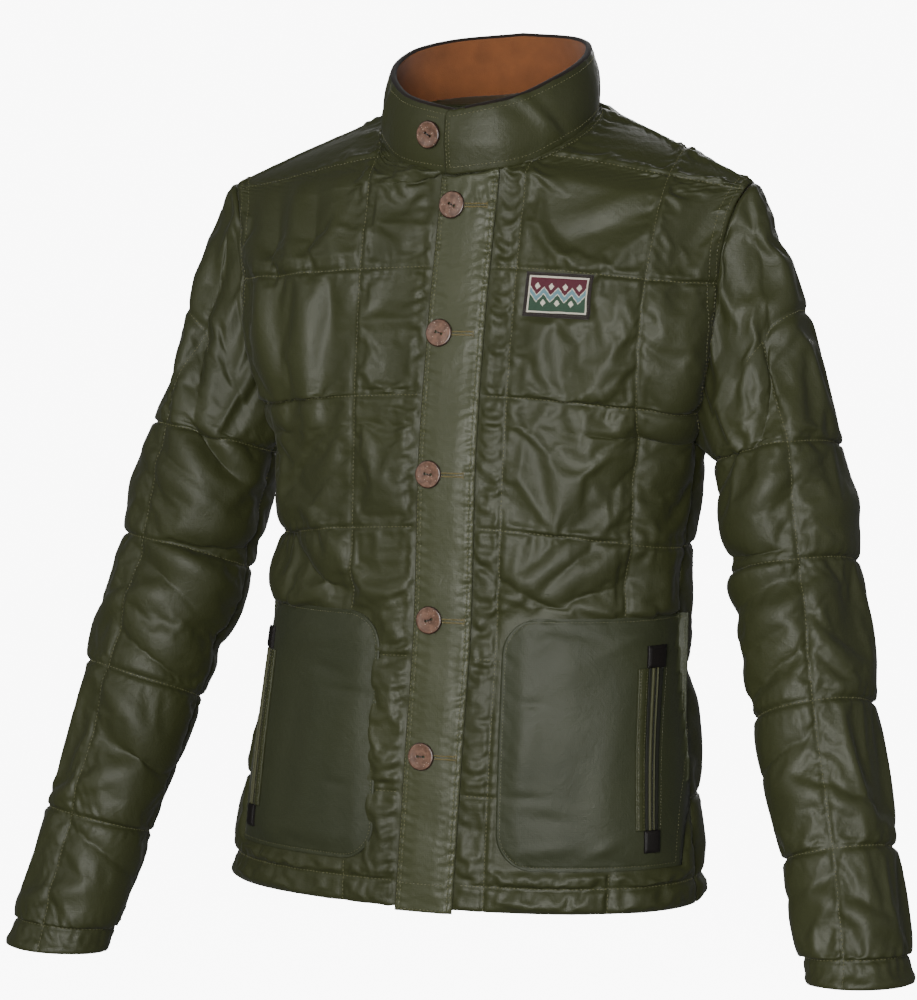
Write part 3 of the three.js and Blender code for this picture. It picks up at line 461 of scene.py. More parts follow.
def new_mesh(name, points, faces, *materials):
    """A mesh from points in millimetres and its faces."""
    mesh = bpy.data.meshes.new(name)
    mesh.from_pydata((np.asarray(points, float) * MM).tolist(), [], faces)
    for material in materials:
        mesh.materials.append(material)
    return mesh


def swollen(places, normals, start, held, closed=False):
    """The cloth between its stitched lines, let swell and crease by a cloth simulation."""
    rows, columns = start.shape[:2]
    faces = quads(grid_index(rows, columns, closed=closed))
    inward = np.sum(np.cross(
        start[1, 1] - start[0, 0], start[1, 0] - start[0, 1]) * normals[0, 0]) < 0
    if inward:
        faces = faces[:, ::-1]
    cloth = put_in_scene("loose_cloth", new_mesh("loose_cloth", start.reshape(-1, 3), faces.tolist()))
    group = cloth.vertex_groups.new(name="held")
    for weight in np.unique(held):
        if weight > 0:
            members = np.flatnonzero(held.reshape(-1) == weight)
            group.add(members.tolist(), float(weight), "REPLACE")
    settings = cloth.modifiers.new("cloth", "CLOTH").settings
    settings.quality, settings.mass, settings.air_damping = 6, 0.15, 2
    settings.tension_stiffness = settings.compression_stiffness = 12
    settings.shear_stiffness, settings.bending_stiffness = 3, 0.02
    settings.vertex_group_mass, settings.pin_stiffness = "held", 1
    settings.shrink_min = -0.04
    settings.use_pressure, settings.uniform_pressure_force = True, 1.2
    settings.effector_weights.gravity = 0.3
    scene = bpy.context.scene
    for step in range(1, 19):
        scene.frame_set(step)
    shown = cloth.evaluated_get(bpy.context.evaluated_depsgraph_get())
    ends = np.empty(rows * columns * 3, np.float32)
    shown.data.vertices.foreach_get("co", ends)
    bpy.data.objects.remove(cloth)
    scene.frame_set(1)
    moved = ends.reshape(rows, columns, 3) / MM - start
    length = np.linalg.norm(moved, axis=-1, keepdims=True)
    moved *= np.minimum(1, MOST_MOVE / np.maximum(length, 1e-6))
    result = start + moved
    above = np.sum((result - places) * normals, axis=-1, keepdims=True)
    return result + normals * np.maximum(0, LEAST_WALL - above)


def wall_mesh(name, outer, inner, step, material, lining, closed=False):
    """A closed wall: a fine outside, a plainer inside and the rims that join them."""
    fine = grid_index(*outer.shape[:2], closed=closed)
    plain = grid_index(*inner.shape[:2], outer.shape[0] * outer.shape[1], closed)
    outside, inside = quads(fine), quads(plain)[:, ::-1]
    faces = outside.tolist() + inside.tolist()
    borders = [(fine[0], plain[0], 1), (fine[-1], plain[-1], -1)]
    if not closed:
        borders += [(fine[:, 0], plain[:, 0], -1), (fine[:, -1], plain[:, -1], 1)]
    for upper, lower, way in borders:
        for k in range(len(lower) - 1):
            face = [*upper[k * step:(k + 1) * step + 1][::-1], lower[k], lower[k + 1]]
            faces.append([int(v) for v in face[::way]])
    points = np.concatenate([outer.reshape(-1, 3), inner.reshape(-1, 3)])
    mesh = new_mesh(name, points, faces, material, lining)
    mesh.update()
    place = np.arange(len(faces))
    walls = len(outside) + len(inside)
    lined = (place >= len(outside)) & (place < walls)
    mesh.polygons.foreach_set("material_index", lined.astype(np.int32))
    mesh.polygons.foreach_set("use_smooth", place < walls)
    piece = put_in_scene(name, mesh)
    mesh.calc_loop_triangles()
    corners = np.array([t.vertices[:] for t in mesh.loop_triangles])
    a, b, c = (points[corners[:, k]] - np.mean(points, axis=0) for k in range(3))
    if np.sum(a * np.cross(b, c)) < 0:  # the volume is negative when the faces look inward
        mesh.flip_normals()
    return piece


def dress(piece, slot_name, *nodes):
    """Says which solids a piece replaces, and that it rides the root. Its slot name is not used."""
    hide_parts(*nodes)
    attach(piece, "root")


def stitches_along(places, normals, pitch=3.4, length=2.5):
    """Starts, ends and outward ways of the lockstitches along a line."""
    spans = np.linalg.norm(np.diff(places, axis=0), axis=1)
    distance = np.concatenate([[0], np.cumsum(spans)])
    centres = np.arange(pitch / 2, distance[-1] - length / 2, pitch)

    def along(values, at):
        return np.stack([np.interp(at, distance, values[:, k]) for k in range(3)], axis=-1)

    return (
        along(places, centres - length / 2), along(places, centres + length / 2),
        unit(along(normals, centres)),
    )


def thread_mesh(name, runs, material, thick=0.75, lift=0.25):
    """Stitches from runs of starts, ends and outward ways: one arched bead of thread for each."""
    starts, ends, ways = (np.concatenate(parts) for parts in zip(*runs))
    side = unit(np.cross(ways, ends - starts))
    middle = (starts + ends) / 2 + ways * lift
    ring = [
        middle + (side * math.cos(turn) + ways * math.sin(turn)) * thick / 2
        for turn in np.radians([45, 135, 225, 315])
    ]
    points = np.stack([starts, *ring, ends], axis=1).reshape(-1, 3)
    pattern = [(0, 2, 1), (0, 3, 2), (0, 4, 3), (0, 1, 4), (1, 2, 5), (2, 3, 5), (3, 4, 5), (4, 1, 5)]
    faces = (np.arange(len(starts))[:, None, None] * 6 + np.array(pattern)[None]).reshape(-1, 3)
    mesh = new_mesh(name, points, faces.tolist(), material)
    mesh.polygons.foreach_set("use_smooth", [True] * len(faces))
    piece = put_in_scene(name, mesh)
    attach(piece, "root")
    return piece


def shown_runs(places, normals, shown):
    """The stitches along the stretches of a line that show."""
    ends = np.flatnonzero(np.diff(np.concatenate([[0], shown.astype(int), [0]])))
    pairs = [(a, b) for a, b in zip(ends[::2], ends[1::2]) if b - a > 3]
    return [stitches_along(places[a:b], normals[a:b]) for a, b in pairs]


def puckers(places, line_rows, line_columns, seed, reach=8, size=0.8, long_line=None):
    """Short gathers across a piece's stitched lines, where the thread draws the cloth in."""
    def run(axis):
        spans = np.linalg.norm(np.diff(places, axis=axis), axis=-1)
        return np.concatenate([np.zeros_like(spans.take([0], axis)), np.cumsum(spans, axis)], axis)

    up, over = run(0), run(1)
    rng = np.random.default_rng(seed)
    total = np.zeros(up.shape)
    lines = [(up, over, (r, slice(None))) for r in line_rows]
    lines += [(over, up, (slice(None), c)) for c in line_columns]
    for across, along, place in lines:
        base = across[place]
        away = np.abs(across - (base[None] if isinstance(place[0], (int, np.integer)) else base[:, None]))
        wave = np.zeros(up.shape)
        far = 2.2 if long_line is not None and place == (slice(None), long_line) else 1
        for _ in range(4):
            lean, length = rng.uniform(-0.35, 0.35), rng.uniform(6.5, 15) * far**0.5
            wave += np.sin(2 * np.pi * (along + lean * away) / length + rng.uniform(0, 7))
        total += far**0.5 * wave / 2 * np.exp(-away / reach / far) * (1 - np.exp(-away / 1.6))
        total -= 1.1 * np.exp(-((away / 1.4) ** 2))
    return size * np.clip(total, -1.9, 1.9)


# Nylon taffeta: a close plain weave with a soft shine. Its threads are 0.2 mm apart, too fine to
# show, so they are drawn 1.7 mm apart. Creases of 22 mm and finer ones of 8 mm run over it.
def taffeta(name, colour, deep, roughness=0.52):
    material, place = new_material(name)
    patches = add_node(
        material, "ShaderNodeTexNoise", {"Scale": 14.0, "Detail": 3.0}, {"Vector": place})
    shades = add_node(material, "ShaderNodeMix", {"data_type": "RGBA", 6: linear(colour),
                      7: linear(deep)}, {0: patches.outputs["Fac"]})
    creases = add_node(material, "ShaderNodeTexNoise", {"Scale": 45.0, "Detail": 4.0,
                       "Roughness": 0.55, "Distortion": 0.6}, {"Vector": place})
    weave = add_node(material, "ShaderNodeTexWave", {"wave_type": "BANDS", "bands_direction": "Z",
                     "Scale": 180.0, "Distortion": 1.2, "Detail": 1.0},
                     {"Vector": place})
    threads = add_node(material, "ShaderNodeTexWave", {"wave_type": "BANDS",
                       "bands_direction": "X", "Scale": 180.0, "Distortion": 1.2, "Detail": 1.0},
                       {"Vector": place})
    woven = add_node(material, "ShaderNodeMath", {"operation": "MULTIPLY"},
                     {0: weave.outputs["Fac"], 1: threads.outputs["Fac"]})
    crinkles = add_node(material, "ShaderNodeTexNoise", {"Scale": 120.0, "Detail": 3.0,
                        "Roughness": 0.6, "Distortion": 1.4}, {"Vector": place})
    soft = add_node(material, "ShaderNodeBump", {"Strength": 0.5, "Distance": 0.0016},
                    {"Height": creases.outputs["Fac"]})
    crumple = add_node(material, "ShaderNodeBump", {"Strength": 0.4, "Distance": 0.0007},
                       {"Height": crinkles.outputs["Fac"], "Normal": soft.outputs["Normal"]})
    grain = add_node(material, "ShaderNodeBump", {"Strength": 0.12, "Distance": 0.0002},
                     {"Height": woven.outputs["Value"], "Normal": crumple.outputs["Normal"]})
    shine = add_node(material, "ShaderNodeMapRange", {"To Min": roughness - 0.06,
                     "To Max": roughness + 0.1}, {"Value": patches.outputs["Fac"]})
    shader = add_node(material, "ShaderNodeBsdfPrincipled", {"IOR": 1.44, "Sheen Weight": 0.04,
                      "Sheen Roughness": 0.4},
                      {"Base Color": shades.outputs[2], "Roughness": shine.outputs["Result"],
                       "Normal": grain.outputs["Normal"]})
    return finish_material(material, shader)


# Suede-like microfibre: brushed to a short nap, so it is matt and blotched light and dark.
def brushed_suede(name, colour, dark, sheen=0.12, roughness=0.92):
    material, place = new_material(name)
    blotch = add_node(material, "ShaderNodeTexNoise", {"Scale": 60.0, "Detail": 5.0},
                      {"Vector": place})
    shades = add_node(material, "ShaderNodeMix", {"data_type": "RGBA", 6: linear(dark),
                      7: linear(colour)}, {0: blotch.outputs["Fac"]})
    nap = add_node(material, "ShaderNodeTexNoise", {"Scale": 900.0, "Detail": 2.0},
                   {"Vector": place})
    bump = add_node(material, "ShaderNodeBump", {"Strength": 0.4, "Distance": 0.0006},
                    {"Height": nap.outputs["Fac"]})
    shader = add_node(material, "ShaderNodeBsdfPrincipled", {"Roughness": roughness,
                      "IOR": 1.4, "Sheen Weight": sheen, "Sheen Roughness": 0.6},
                      {"Base Color": shades.outputs[2], "Normal": bump.outputs["Normal"]})
    return finish_material(material, shader)


def spun_thread(name, colour):
    """Polyester sewing thread: two plies, slightly shiny."""
    material, place = new_material(name)
    ply = add_node(material, "ShaderNodeTexNoise", {"Scale": 1500.0, "Detail": 1.0},
                   {"Vector": place})
    shades = add_node(material, "ShaderNodeMapRange", {"To Min": 0.4, "To Max": 0.62},
                      {"Value": ply.outputs["Fac"]})
    shader = add_node(material, "ShaderNodeBsdfPrincipled", {"Base Color": linear(colour),
                      "Sheen Weight": 0.2}, {"Roughness": shades.outputs["Result"]})
    return finish_material(material, shader)


quilted_nylon = taffeta("olive_nylon_taffeta_woven", NYLON, NYLON_DEEP)
suede_side = brushed_suede("tan_microfibre_suede_brushed", SUEDE, SUEDE_DARK)
olive_thread = spun_thread("olive_polyester_thread_spun", THREAD)


def under_patch(x, z, margin):
    half_x, half_z = PATCH["width"] / 2 + margin, PATCH["height"] / 2 + margin
    return (np.abs(x - PATCH["x"]) < half_x) & (np.abs(z - PATCH["z"]) < half_z)


def under_pocket(x, z, margin):
    return (
        (z < POCKET["top"] + margin) & (z > POCKET["bottom"] - margin)
        & (np.abs(x) > POCKET["inner"] - margin) & (np.abs(x) < POCKET["outer"] + margin)
    )


def quilted_piece(name, grid, rows_stitched, folds, normals_way, flat, hidden, nodes, seed):
    """One quilted panel from its grid: folded, swollen, walled, lined and stitched."""
    rows, columns = grid["row"].shape
    normals = grid_normals(grid["places"], normals_way)
    x, z = grid["places"][..., 0], grid["places"][..., 2]
    whole = grid.get("whole")
    edge = smooth_step(0, 0.1, 1 - grid["across"])
    edge = edge if whole else edge * smooth_step(0, 0.1, grid["across"])
    free = edge * (1 - smooth_step(*NECK_CALM, z)) * np.where(flat, 0, 1)
    rise = fold_rise(folds, x if whole else np.abs(x), z)
    places = grid["places"] + normals * (free * rise)[..., None]
    normals = grid_normals(places, normals_way)
    puff = swell(grid["share"])[None, :] * swell(cell_share(rows_stitched, grid["row"]))
    puff = np.where(flat, 0, puff * grid["full"] * PUFF)
    start = places + normals * (STITCHED + PUFF_START * puff)[..., None]

    line_rows = [np.argmin(np.abs(grid["row"][:, 0] - line)) for line in rows_stitched]
    line_columns = np.flatnonzero(np.isclose(grid["share"] % 1, 0))
    held = np.zeros((rows, columns))
    held[line_rows] = held[:, line_columns] = 1
    held[0] = held[-1] = held[:, 0] = held[:, -1] = 1
    held[flat] = 1
    outer = swollen(places, normals, start, held)
    fine = upsampled(outer)
    normals = grid_normals(fine, normals_way)
    inner_lines = [c for c in line_columns if 0 < c < columns - 1]
    by_placket = None if whole else 2 * inner_lines[0]
    gathers = puckers(
        fine, [2 * r for r in line_rows[1:]], [2 * c for c in inner_lines], seed, long_line=by_placket,
    )
    calm = upsampled(np.where(flat, 0.0, 1.0)[..., None])[..., 0]
    fine = fine + normals * (gathers * calm)[..., None]
    piece = wall_mesh(name, fine, places[::2, ::2], 4, quilted_nylon, suede_side)
    dress(piece, "quilted_nylon", *nodes)

    shown = ~np.repeat(np.repeat(hidden, 2, 0), 2, 1)[:-1, :-1]
    runs = []
    for r in line_rows[1:-1]:
        runs += shown_runs(fine[2 * r], normals[2 * r], shown[2 * r])
    for c in inner_lines:
        runs += shown_runs(fine[:, 2 * c], normals[:, 2 * c], shown[:, 2 * c])
    for inset in ARMHOLE_STITCHES:
        for way in (1, -1) if whole else (1,):
            column = fine.shape[1] - 1 - inset if way == 1 else inset
            by_arm = shown[:, column] & (fine[:, column, 2] > ARMHOLE["bottom"] + 6)
            runs += shown_runs(fine[:, column], normals[:, column], by_arm)
    thread_mesh(f"{name}_stitches", runs, olive_thread)
    return fine, normals


ARMHOLE_STITCHES = (2, 5)
front_outer, front_places = {}, {}
for side, name in ((1, "left"), (-1, "right")):
    grid = panel_grid(
        FRONT_LINES, FRONT_NECK_LINE, 1, side, FRONT_COLUMNS[side], FRONT_STEPS[side]
    )
    x, z = grid["places"][..., 0], grid["places"][..., 2]
    by_placket = np.broadcast_to((grid["cell"] == 0)[None, :], x.shape)
    flat = under_pocket(x, z, POCKET_MARGIN) | by_placket | under_patch(x, z, 1)
    hidden = under_pocket(x, z, -2) | by_placket | under_patch(x, z, -1)
    front_outer[side] = quilted_piece(
        f"front_{name}_quilted", grid, np.flatnonzero(FRONT_LINES["stitched"]), FRONT_FOLDS[side],
        side, flat, hidden, [f"front_{name}"], seed=3 + side,
    )
    front_places[side] = grid["places"]

# Back panel: one quilted piece from side seam to side seam, joined to the fronts at the shoulders
# and sides. A short slit is left open at the foot of each side seam.
BACK_LINES = table(
    LINE_NAMES,
    *LOW_LINES,
    (-150, -163, 26, 60, 0.1, 1),
    (-48, -96, 12, 35, 0.5, 1),
    (-5, -85, 14, 15, 0.85, 0),
    (112, -83, 0, 0, 1, 1),
)
BACK_NECK_LINE = 9
BACK_COLUMNS, BACK_STEPS = [(60, 60, 60), (170, 150, 165)], [16, 26, 10]
BACK_FOLDS = table(
    "x z lean long wide rise",
    (90, -420, 0.3, 90, 14, -5), (-80, -440, -0.25, 90, 14, -5), (150, -215, 5, 90, 14, -4),
    (-150, -220, -5, 90, 14, -4), (120, -400, 0.5, 60, 9, 4), (-115, -410, -0.5, 60, 9, 4),
    (40, -395, 0.15, 50, 9, 3), (-30, -425, -0.1, 50, 9, 3), (135, -190, 6, 60, 9, 3.5),
    (-135, -195, -6, 60, 9, 3.5), (20, -520, 0.1, 60, 12, -2.5), (-60, -530, -0.2, 60, 12, 2.5),
    (100, -540, 0.4, 60, 12, 2.5), (-120, -300, -2, 60, 12, 2.5), (110, -310, 2, 60, 12, 2.5),
)

halves = {
    side: panel_grid(BACK_LINES, BACK_NECK_LINE, -1, side, BACK_COLUMNS, BACK_STEPS)
    for side in (1, -1)
}
back_grid = {
    name: np.concatenate([halves[-1][name][:, :0:-1], halves[1][name]], axis=1)
    for name in ("row", "across", "places", "full")
}
back_grid["share"] = np.concatenate([halves[-1]["share"][:0:-1], halves[1]["share"]])
back_grid["whole"] = True
hidden = np.zeros(back_grid["row"].shape, bool)
quilted_piece(
    "back_quilted", back_grid, np.flatnonzero(BACK_LINES["stitched"]), BACK_FOLDS, -1, hidden,
    hidden, ["back"], seed=11,
)

# Sleeves: two-piece sleeves of the same quilted nylon, set into the armholes and joined along the
# front and back stitched lines. Each keeps its own arm's pose, with deep creases where it bends.
SLEEVE_RINGS = {
    1: table(
        "down x y z wide deep level steps",
        (1, 254, -14, -302, 46, 56, 0, 24), (2, 274, -30, -395, 46, 51, 0, 28),
        (3, 301, -62, -506, 43, 46, 0, 28), (4, 332, -93, -614, 39, 41, 0.2, 20),
        (5, 353, -118, -690, 38, 38, 0.75, 6), (6, 359, -125, -710, 40, 40, 0.85, 0),
    ),
    -1: table(
        "down x y z wide deep level steps",
        (1, 254, -14, -302, 50, 57, 0, 24), (2, 274, -32, -400, 53, 53, 0, 28),
        (3, 302, -62, -510, 48, 46, 0, 30), (4, 331, -93, -630, 42, 41, 0.2, 22),
        (5, 351, -119, -717, 40, 38, 0.75, 6), (6, 357, -126, -738, 42, 40, 0.85, 0),
    ),
}
CAP = {"start": 0.6, "outward": 0.5, "fall": 0.85, "fullness": 0.62, "steps": 44, "ring_turn": 80}
SLEEVE_LINES = [(-65, -40), (55, 95), (180, 205)]  # back, front and under: at the armhole, at the cuff
SLEEVE_STEPS = [26, 24, 22]
RING_SPACING, ARM_RADIUS = 110, 48
# Creases: the turn and distance down the arm of each, and sizes as for the fronts' folds.
SLEEVE_FOLDS = {
    1: table(
        "turn down lean long wide rise",
        (62, 0.62, 1.6, 70, 9, -6), (80, 0.72, 1.3, 70, 9, 5), (100, 0.85, 1.1, 60, 9, -5),
        (50, 0.85, 1.8, 60, 9, 4), (120, 1.1, 0.8, 60, 12, -6), (85, 1.35, 0.6, 45, 9, 4),
        (150, 1.85, -0.2, 60, 11, -7), (120, 2.05, 0.2, 55, 9, 5), (130, 2.25, 0.25, 55, 10, -6),
        (100, 2.4, 0.4, 45, 8, 4), (200, 2.6, 0.1, 60, 12, -5), (110, 2.75, 0.35, 50, 9, -4),
        (60, 2.6, -0.6, 40, 9, 3), (120, 3.3, 0.3, 50, 10, -4), (90, 3.6, -0.4, 45, 9, 3),
        (-20, 1.5, 0.2, 60, 14, 4), (-60, 2.2, 0.3, 60, 12, -5), (-100, 0.8, -1.2, 70, 12, -5),
        (130, 4.3, 0.3, 45, 9, -3.5), (70, 4.5, -0.5, 40, 9, 3),
    ),
    -1: table(
        "turn down lean long wide rise",
        (70, 0.55, 1.8, 70, 9, -6), (55, 0.7, 1.6, 65, 9, 5), (90, 0.8, 1.3, 65, 9, -5),
        (110, 0.95, 0.9, 60, 10, 5), (120, 1.15, 0.7, 60, 10, -6), (80, 1.4, 0.5, 50, 9, 3.5),
        (150, 1.9, -0.2, 60, 11, -7), (120, 2.1, 0.3, 50, 9, 5), (110, 2.3, 0.5, 55, 10, -6),
        (75, 2.5, -0.5, 45, 9, 3.5), (200, 2.6, 0.1, 60, 12, -5), (120, 2.85, 0.3, 50, 9, -5),
        (100, 3.2, 0.5, 50, 9, 4), (130, 3.5, 0.2, 50, 9, -5), (80, 3.8, -0.5, 45, 9, 3),
        (-20, 1.5, 0.2, 60, 14, 4), (-60, 2.2, 0.3, 60, 12, -5), (-100, 0.8, -1.2, 70, 12, -5),
        (120, 4.2, 0.4, 45, 9, -4), (90, 4.6, -0.4, 40, 9, 3.5),
    ),
}


def sleeve_points(side, down, turn):
    """Inside of a sleeve. Down counts the rings from the armhole; turn is 90 in front."""
    rings = SLEEVE_RINGS[side]
    down, turn = np.broadcast_arrays(np.asarray(down, float), np.asarray(turn, float))
    at = np.maximum(1, down)

    def centre(level):
        x, y, z = (read(rings, "down", level, name) for name in "xyz")
        return stack(side * x, y, z)

    level = read(rings, "down", at, "level")[..., None]
    way = unit(centre(at + 0.02) - centre(at - 0.02))
    way = unit(way * (1 - level) + np.array([0, 0, -1]) * level)
    outward = np.zeros_like(way)
    outward[..., 0] = side
    outward = unit(outward - way * np.sum(outward * way, axis=-1, keepdims=True))
    forward = np.cross(way, outward) * side
    wide, deep = read(rings, "down", at, "wide"), read(rings, "down", at, "deep")
    angle = np.radians(turn)
    place = centre(at) + outward * (wide * np.cos(angle))[..., None]
    place = place + forward * (deep * np.sin(angle))[..., None]
    seam = armhole_points(turn)
    seam[..., 0] = side * (seam[..., 0] + CAP["start"])
    length = CAP["fullness"] * np.linalg.norm(seam - place, axis=-1, keepdims=True)
    leave = unit(np.array([side * CAP["outward"], 0, -CAP["fall"]]))
    first, last = seam + leave * length / 3, place - way * length / 3
    t = np.clip(down, 0, 1)[..., None]
    curve = (1 - t) ** 3 * seam + 3 * (1 - t) ** 2 * t * first + 3 * (1 - t) * t**2 * last + t**3 * place
    return np.where(down[..., None] >= 1, place, curve)


for side, name in ((1, "left"), (-1, "right")):
    rings = SLEEVE_RINGS[side]
    last = len(rings["down"])
    rows = [k / CAP["steps"] for k in range(CAP["steps"])]
    for start_ring, count in zip(rings["down"], rings["steps"].astype(int)):
        rows += [start_ring + k / count for k in range(count)]
    down = np.array(rows + [float(last)])
    lines = [high + (low - high) * np.minimum(1, down / last) for high, low in SLEEVE_LINES]
    lines.append(lines[0] + 360)
    turn, share = [], []
    for index, count in enumerate(SLEEVE_STEPS):
        for k in range(count):
            turn.append(lines[index] + (lines[index + 1] - lines[index]) * k / count)
            share.append(k / count)
    turn, share = np.array(turn).T, np.array(share)
    down = np.repeat(down[:, None], turn.shape[1], axis=1)
    way_round = (turn + 180) % 360 - 180

    places = sleeve_points(side, down, turn)
    normals = grid_normals(places, side, closed=True)
    folds, rise = SLEEVE_FOLDS[side], np.zeros_like(down)
    for fold_turn, fold_down, *shape in zip(*folds.values()):
        round_arm = np.radians((turn - fold_turn + 540) % 360 - 180) * ARM_RADIUS
        rise += fold(round_arm, (down - fold_down) * RING_SPACING, *shape)
    rise *= smooth_step(0, 0.3, down) * smooth_step(0, 0.8, last - down)
    places = places + normals * rise[..., None]
    normals = grid_normals(places, side, closed=True)

    outside = smooth_step(CAP["ring_turn"] + 14, CAP["ring_turn"] - 14, np.abs(way_round))
    in_cap = down < 1
    swell_down = np.where(
        in_cap, outside * swell(2 * down % 1) + (1 - outside) * swell(np.clip(down, 0, 1)),
        swell(down % 1),
    )
    swell_round = swell(share)[None, :]
    above_ring = smooth_step(0.5, 0.4, down)
    swell_round = swell_round * (1 - above_ring) + above_ring
    under_arm = np.where(np.cos(np.radians(turn)) < -0.5, smooth_step(0.2, 1.6, down), 1)
    puff = PUFF * swell_down * swell_round * under_arm * (down < last - 1)
    start = places + normals * (STITCHED + PUFF_START * puff)[..., None]

    held = np.zeros(down.shape)
    on_line = share == 0
    held[:, on_line] = np.where(down[:, on_line] >= 0.5, 1, 0)
    held[0] = held[-1] = 1
    for ring in rings["down"]:
        held[np.argmin(np.abs(down[:, 0] - ring))] = 1
    half_way = np.argmin(np.abs(down[:, 0] - 0.5))
    held[half_way] = np.abs(way_round[half_way]) < CAP["ring_turn"]
    outer = swollen(places, normals, start, held, closed=True)
    fine = upsampled(outer, closed=True)
    normals = grid_normals(fine, side, closed=True)
    line_rows = [np.argmin(np.abs(down[:, 0] - ring)) for ring in rings["down"][:-1]]
    line_columns = np.flatnonzero(share == 0)
    gathers = puckers(fine, [2 * r for r in line_rows], [2 * c for c in line_columns], 7 + side)
    past_cap = upsampled(np.where(down < 0.5, 0.4, 1.0)[..., None], closed=True)[..., 0]
    fine = fine + normals * (gathers * past_cap)[..., None]
    piece = wall_mesh(
        f"sleeve_{name}_quilted", fine, places[::2, ::2], 4, quilted_nylon, suede_side, closed=True,
    )
    dress(piece, "quilted_nylon", f"sleeve_{name}_top", f"sleeve_{name}_under")

    runs = []
    for r in line_rows:
        ring = np.arange(fine.shape[1] + 1) % fine.shape[1]
        runs.append(stitches_along(fine[2 * r, ring], normals[2 * r, ring]))
    for c in line_columns:
        runs.append(stitches_along(fine[2 * half_way:, 2 * c], normals[2 * half_way:, 2 * c]))
    over_arm = np.flatnonzero(held[half_way] > 0)
    over_arm = over_arm[np.argsort(way_round[half_way, over_arm])]
    runs.append(stitches_along(fine[2 * half_way, 2 * over_arm], normals[2 * half_way, 2 * over_arm]))
    thread_mesh(f"sleeve_{name}_stitches", runs, olive_thread)

# Collar: a stand of plain nylon over firm interlining. Its end laps over the front and buttons
# there. The edges are topstitched, and a dark binding closes the top edge against the lining.
COLLAR = {"thick": 3.6, "bow": 2.5, "seat": 3.7, "front_seat": 0.65, "lap_gap": 0.4, "corner": 7}
COLLAR_ENDS, LAP_START, LAP_FULL = (8, -365), 45, 20
COLLAR_GRID = (28, 300)
STAND, COLLAR_SLACK = 50, 1.7  # its height, and how many times the table's rise its folds have
COLLAR_FOLDS = table(
    "turn height lean long wide rise",
    (-312, 0.5, 1.2, 26, 6, 1.8), (-304, 0.35, 1.4, 24, 5, -1.6), (-322, 0.7, 0.6, 22, 7, -1.0),
    (-66, 0.5, -2.5, 20, 6, -1.8), (-58, 0.45, -2.5, 20, 6, 1.4), (-100, 0.4, 1.5, 22, 8, 1.2),
    (-150, 0.5, 0.8, 26, 8, 1.2), (-168, 0.45, 1.2, 24, 7, -1.2), (-205, 0.5, -0.9, 26, 8, 1.3),
    (-250, 0.5, -1.2, 24, 7, -1.3), (-240, 0.6, -1.0, 22, 6, 1.1), (-345, 0.35, 0.2, 26, 9, 0.9),
)


def collar_points(turn, height, out=0.0):
    """The collar's inside at turns round the neck and shares of its height, moved out."""
    turn, height, out = np.broadcast_arrays(
        np.asarray(turn, float), np.asarray(height, float), np.asarray(out, float))
    lap = (COLLAR["thick"] + COLLAR["lap_gap"]) * smooth_step(LAP_START, LAP_FULL, turn + 360)
    seat = COLLAR["front_seat"] + (1 - COLLAR["front_seat"]) * smooth_step(
        0, LAP_START, from_front(turn))
    foot, top = neck_points(turn, "seam"), neck_points(turn, "top")
    foot[..., 2] += COLLAR["seat"] * seat
    angle = np.radians(turn)
    way = stack(np.sin(angle), -np.cos(angle), 0)
    bow = COLLAR["bow"] * np.sin(np.pi * height)
    place = foot * (1 - height[..., None]) + top * height[..., None]
    return place + way * (bow + lap + out)[..., None]


def ripples(along, across, seed, size, low=9, high=38):
    """Small uneven waves of a sewn piece, from sines of unlike lengths."""
    rng = np.random.default_rng(seed)
    total = 0.0
    for _ in range(9):
        lean, length = rng.uniform(-0.5, 0.5), rng.uniform(low, high)
        total = total + rng.uniform(0.4, 1) * np.sin(
            2 * np.pi * (along + lean * across) / length + rng.uniform(0, 7))
    return size * total / 3


def groove(distance, at, wide=1.0):
    """Depth share of the dent that a line of stitches draws in."""
    return np.exp(-(((distance - at) / wide) ** 2))


rows, columns = COLLAR_GRID
share_up = np.linspace(0, 1, rows + 1)[:, None]
COLLAR_DIP = {"front": 0.11, "back": 0.06}  # how far its foot reaches below the neck seam
turn = np.linspace(*COLLAR_ENDS, columns + 1)[None, :]
round_neck = -np.radians(turn) * NECK_SIZE["width"]
lap_end = round_neck[0, -1] - round_neck
cut = COLLAR["corner"] - np.sqrt(np.maximum(
    0, COLLAR["corner"] ** 2 - np.maximum(0, COLLAR["corner"] - lap_end) ** 2))
dip_share = smooth_step(60, 25, from_front(turn))
dip = COLLAR_DIP["back"] + (COLLAR_DIP["front"] - COLLAR_DIP["back"]) * dip_share
height = -dip + share_up * (1 + dip - cut / STAND)
below_top, above_foot = STAND * (1 - height) - cut, STAND * (height + dip)
edge = np.minimum(np.minimum(below_top, above_foot + 2), np.minimum(lap_end, 60))
rise = COLLAR["thick"] - 1.0 * (1 - smooth_step(0, 3, edge)) + 0.5 * smooth_step(5, 16, edge)
for at in (2.2, 4.6):
    rise = rise - 0.45 * groove(edge, at, 0.8)
for fold_turn, fold_height, *shape in zip(*COLLAR_FOLDS.values()):
    along_neck = -np.radians(turn - fold_turn) * NECK_SIZE["width"]
    rise = rise + COLLAR_SLACK * fold(along_neck, (height - fold_height) * STAND, *shape)
rise = rise + ripples(round_neck, height * STAND, 5, 0.35) * np.exp(-edge / 7)
collar_outside = collar_points(turn, height, rise)
plain_nylon = taffeta("olive_nylon_taffeta_plain", NYLON, NYLON_DEEP)
collar = wall_mesh(
    "collar_stand", collar_outside, collar_points(turn, height)[::2, ::2], 2, plain_nylon, suede_side,
)
dress(collar, "quilted_nylon", "collar")

collar_normals = grid_normals(collar_outside, -1)
if np.sum(collar_normals[5, 5] * (collar_outside - collar_points(turn, height))[5, 5]) < 0:
    collar_normals = -collar_normals


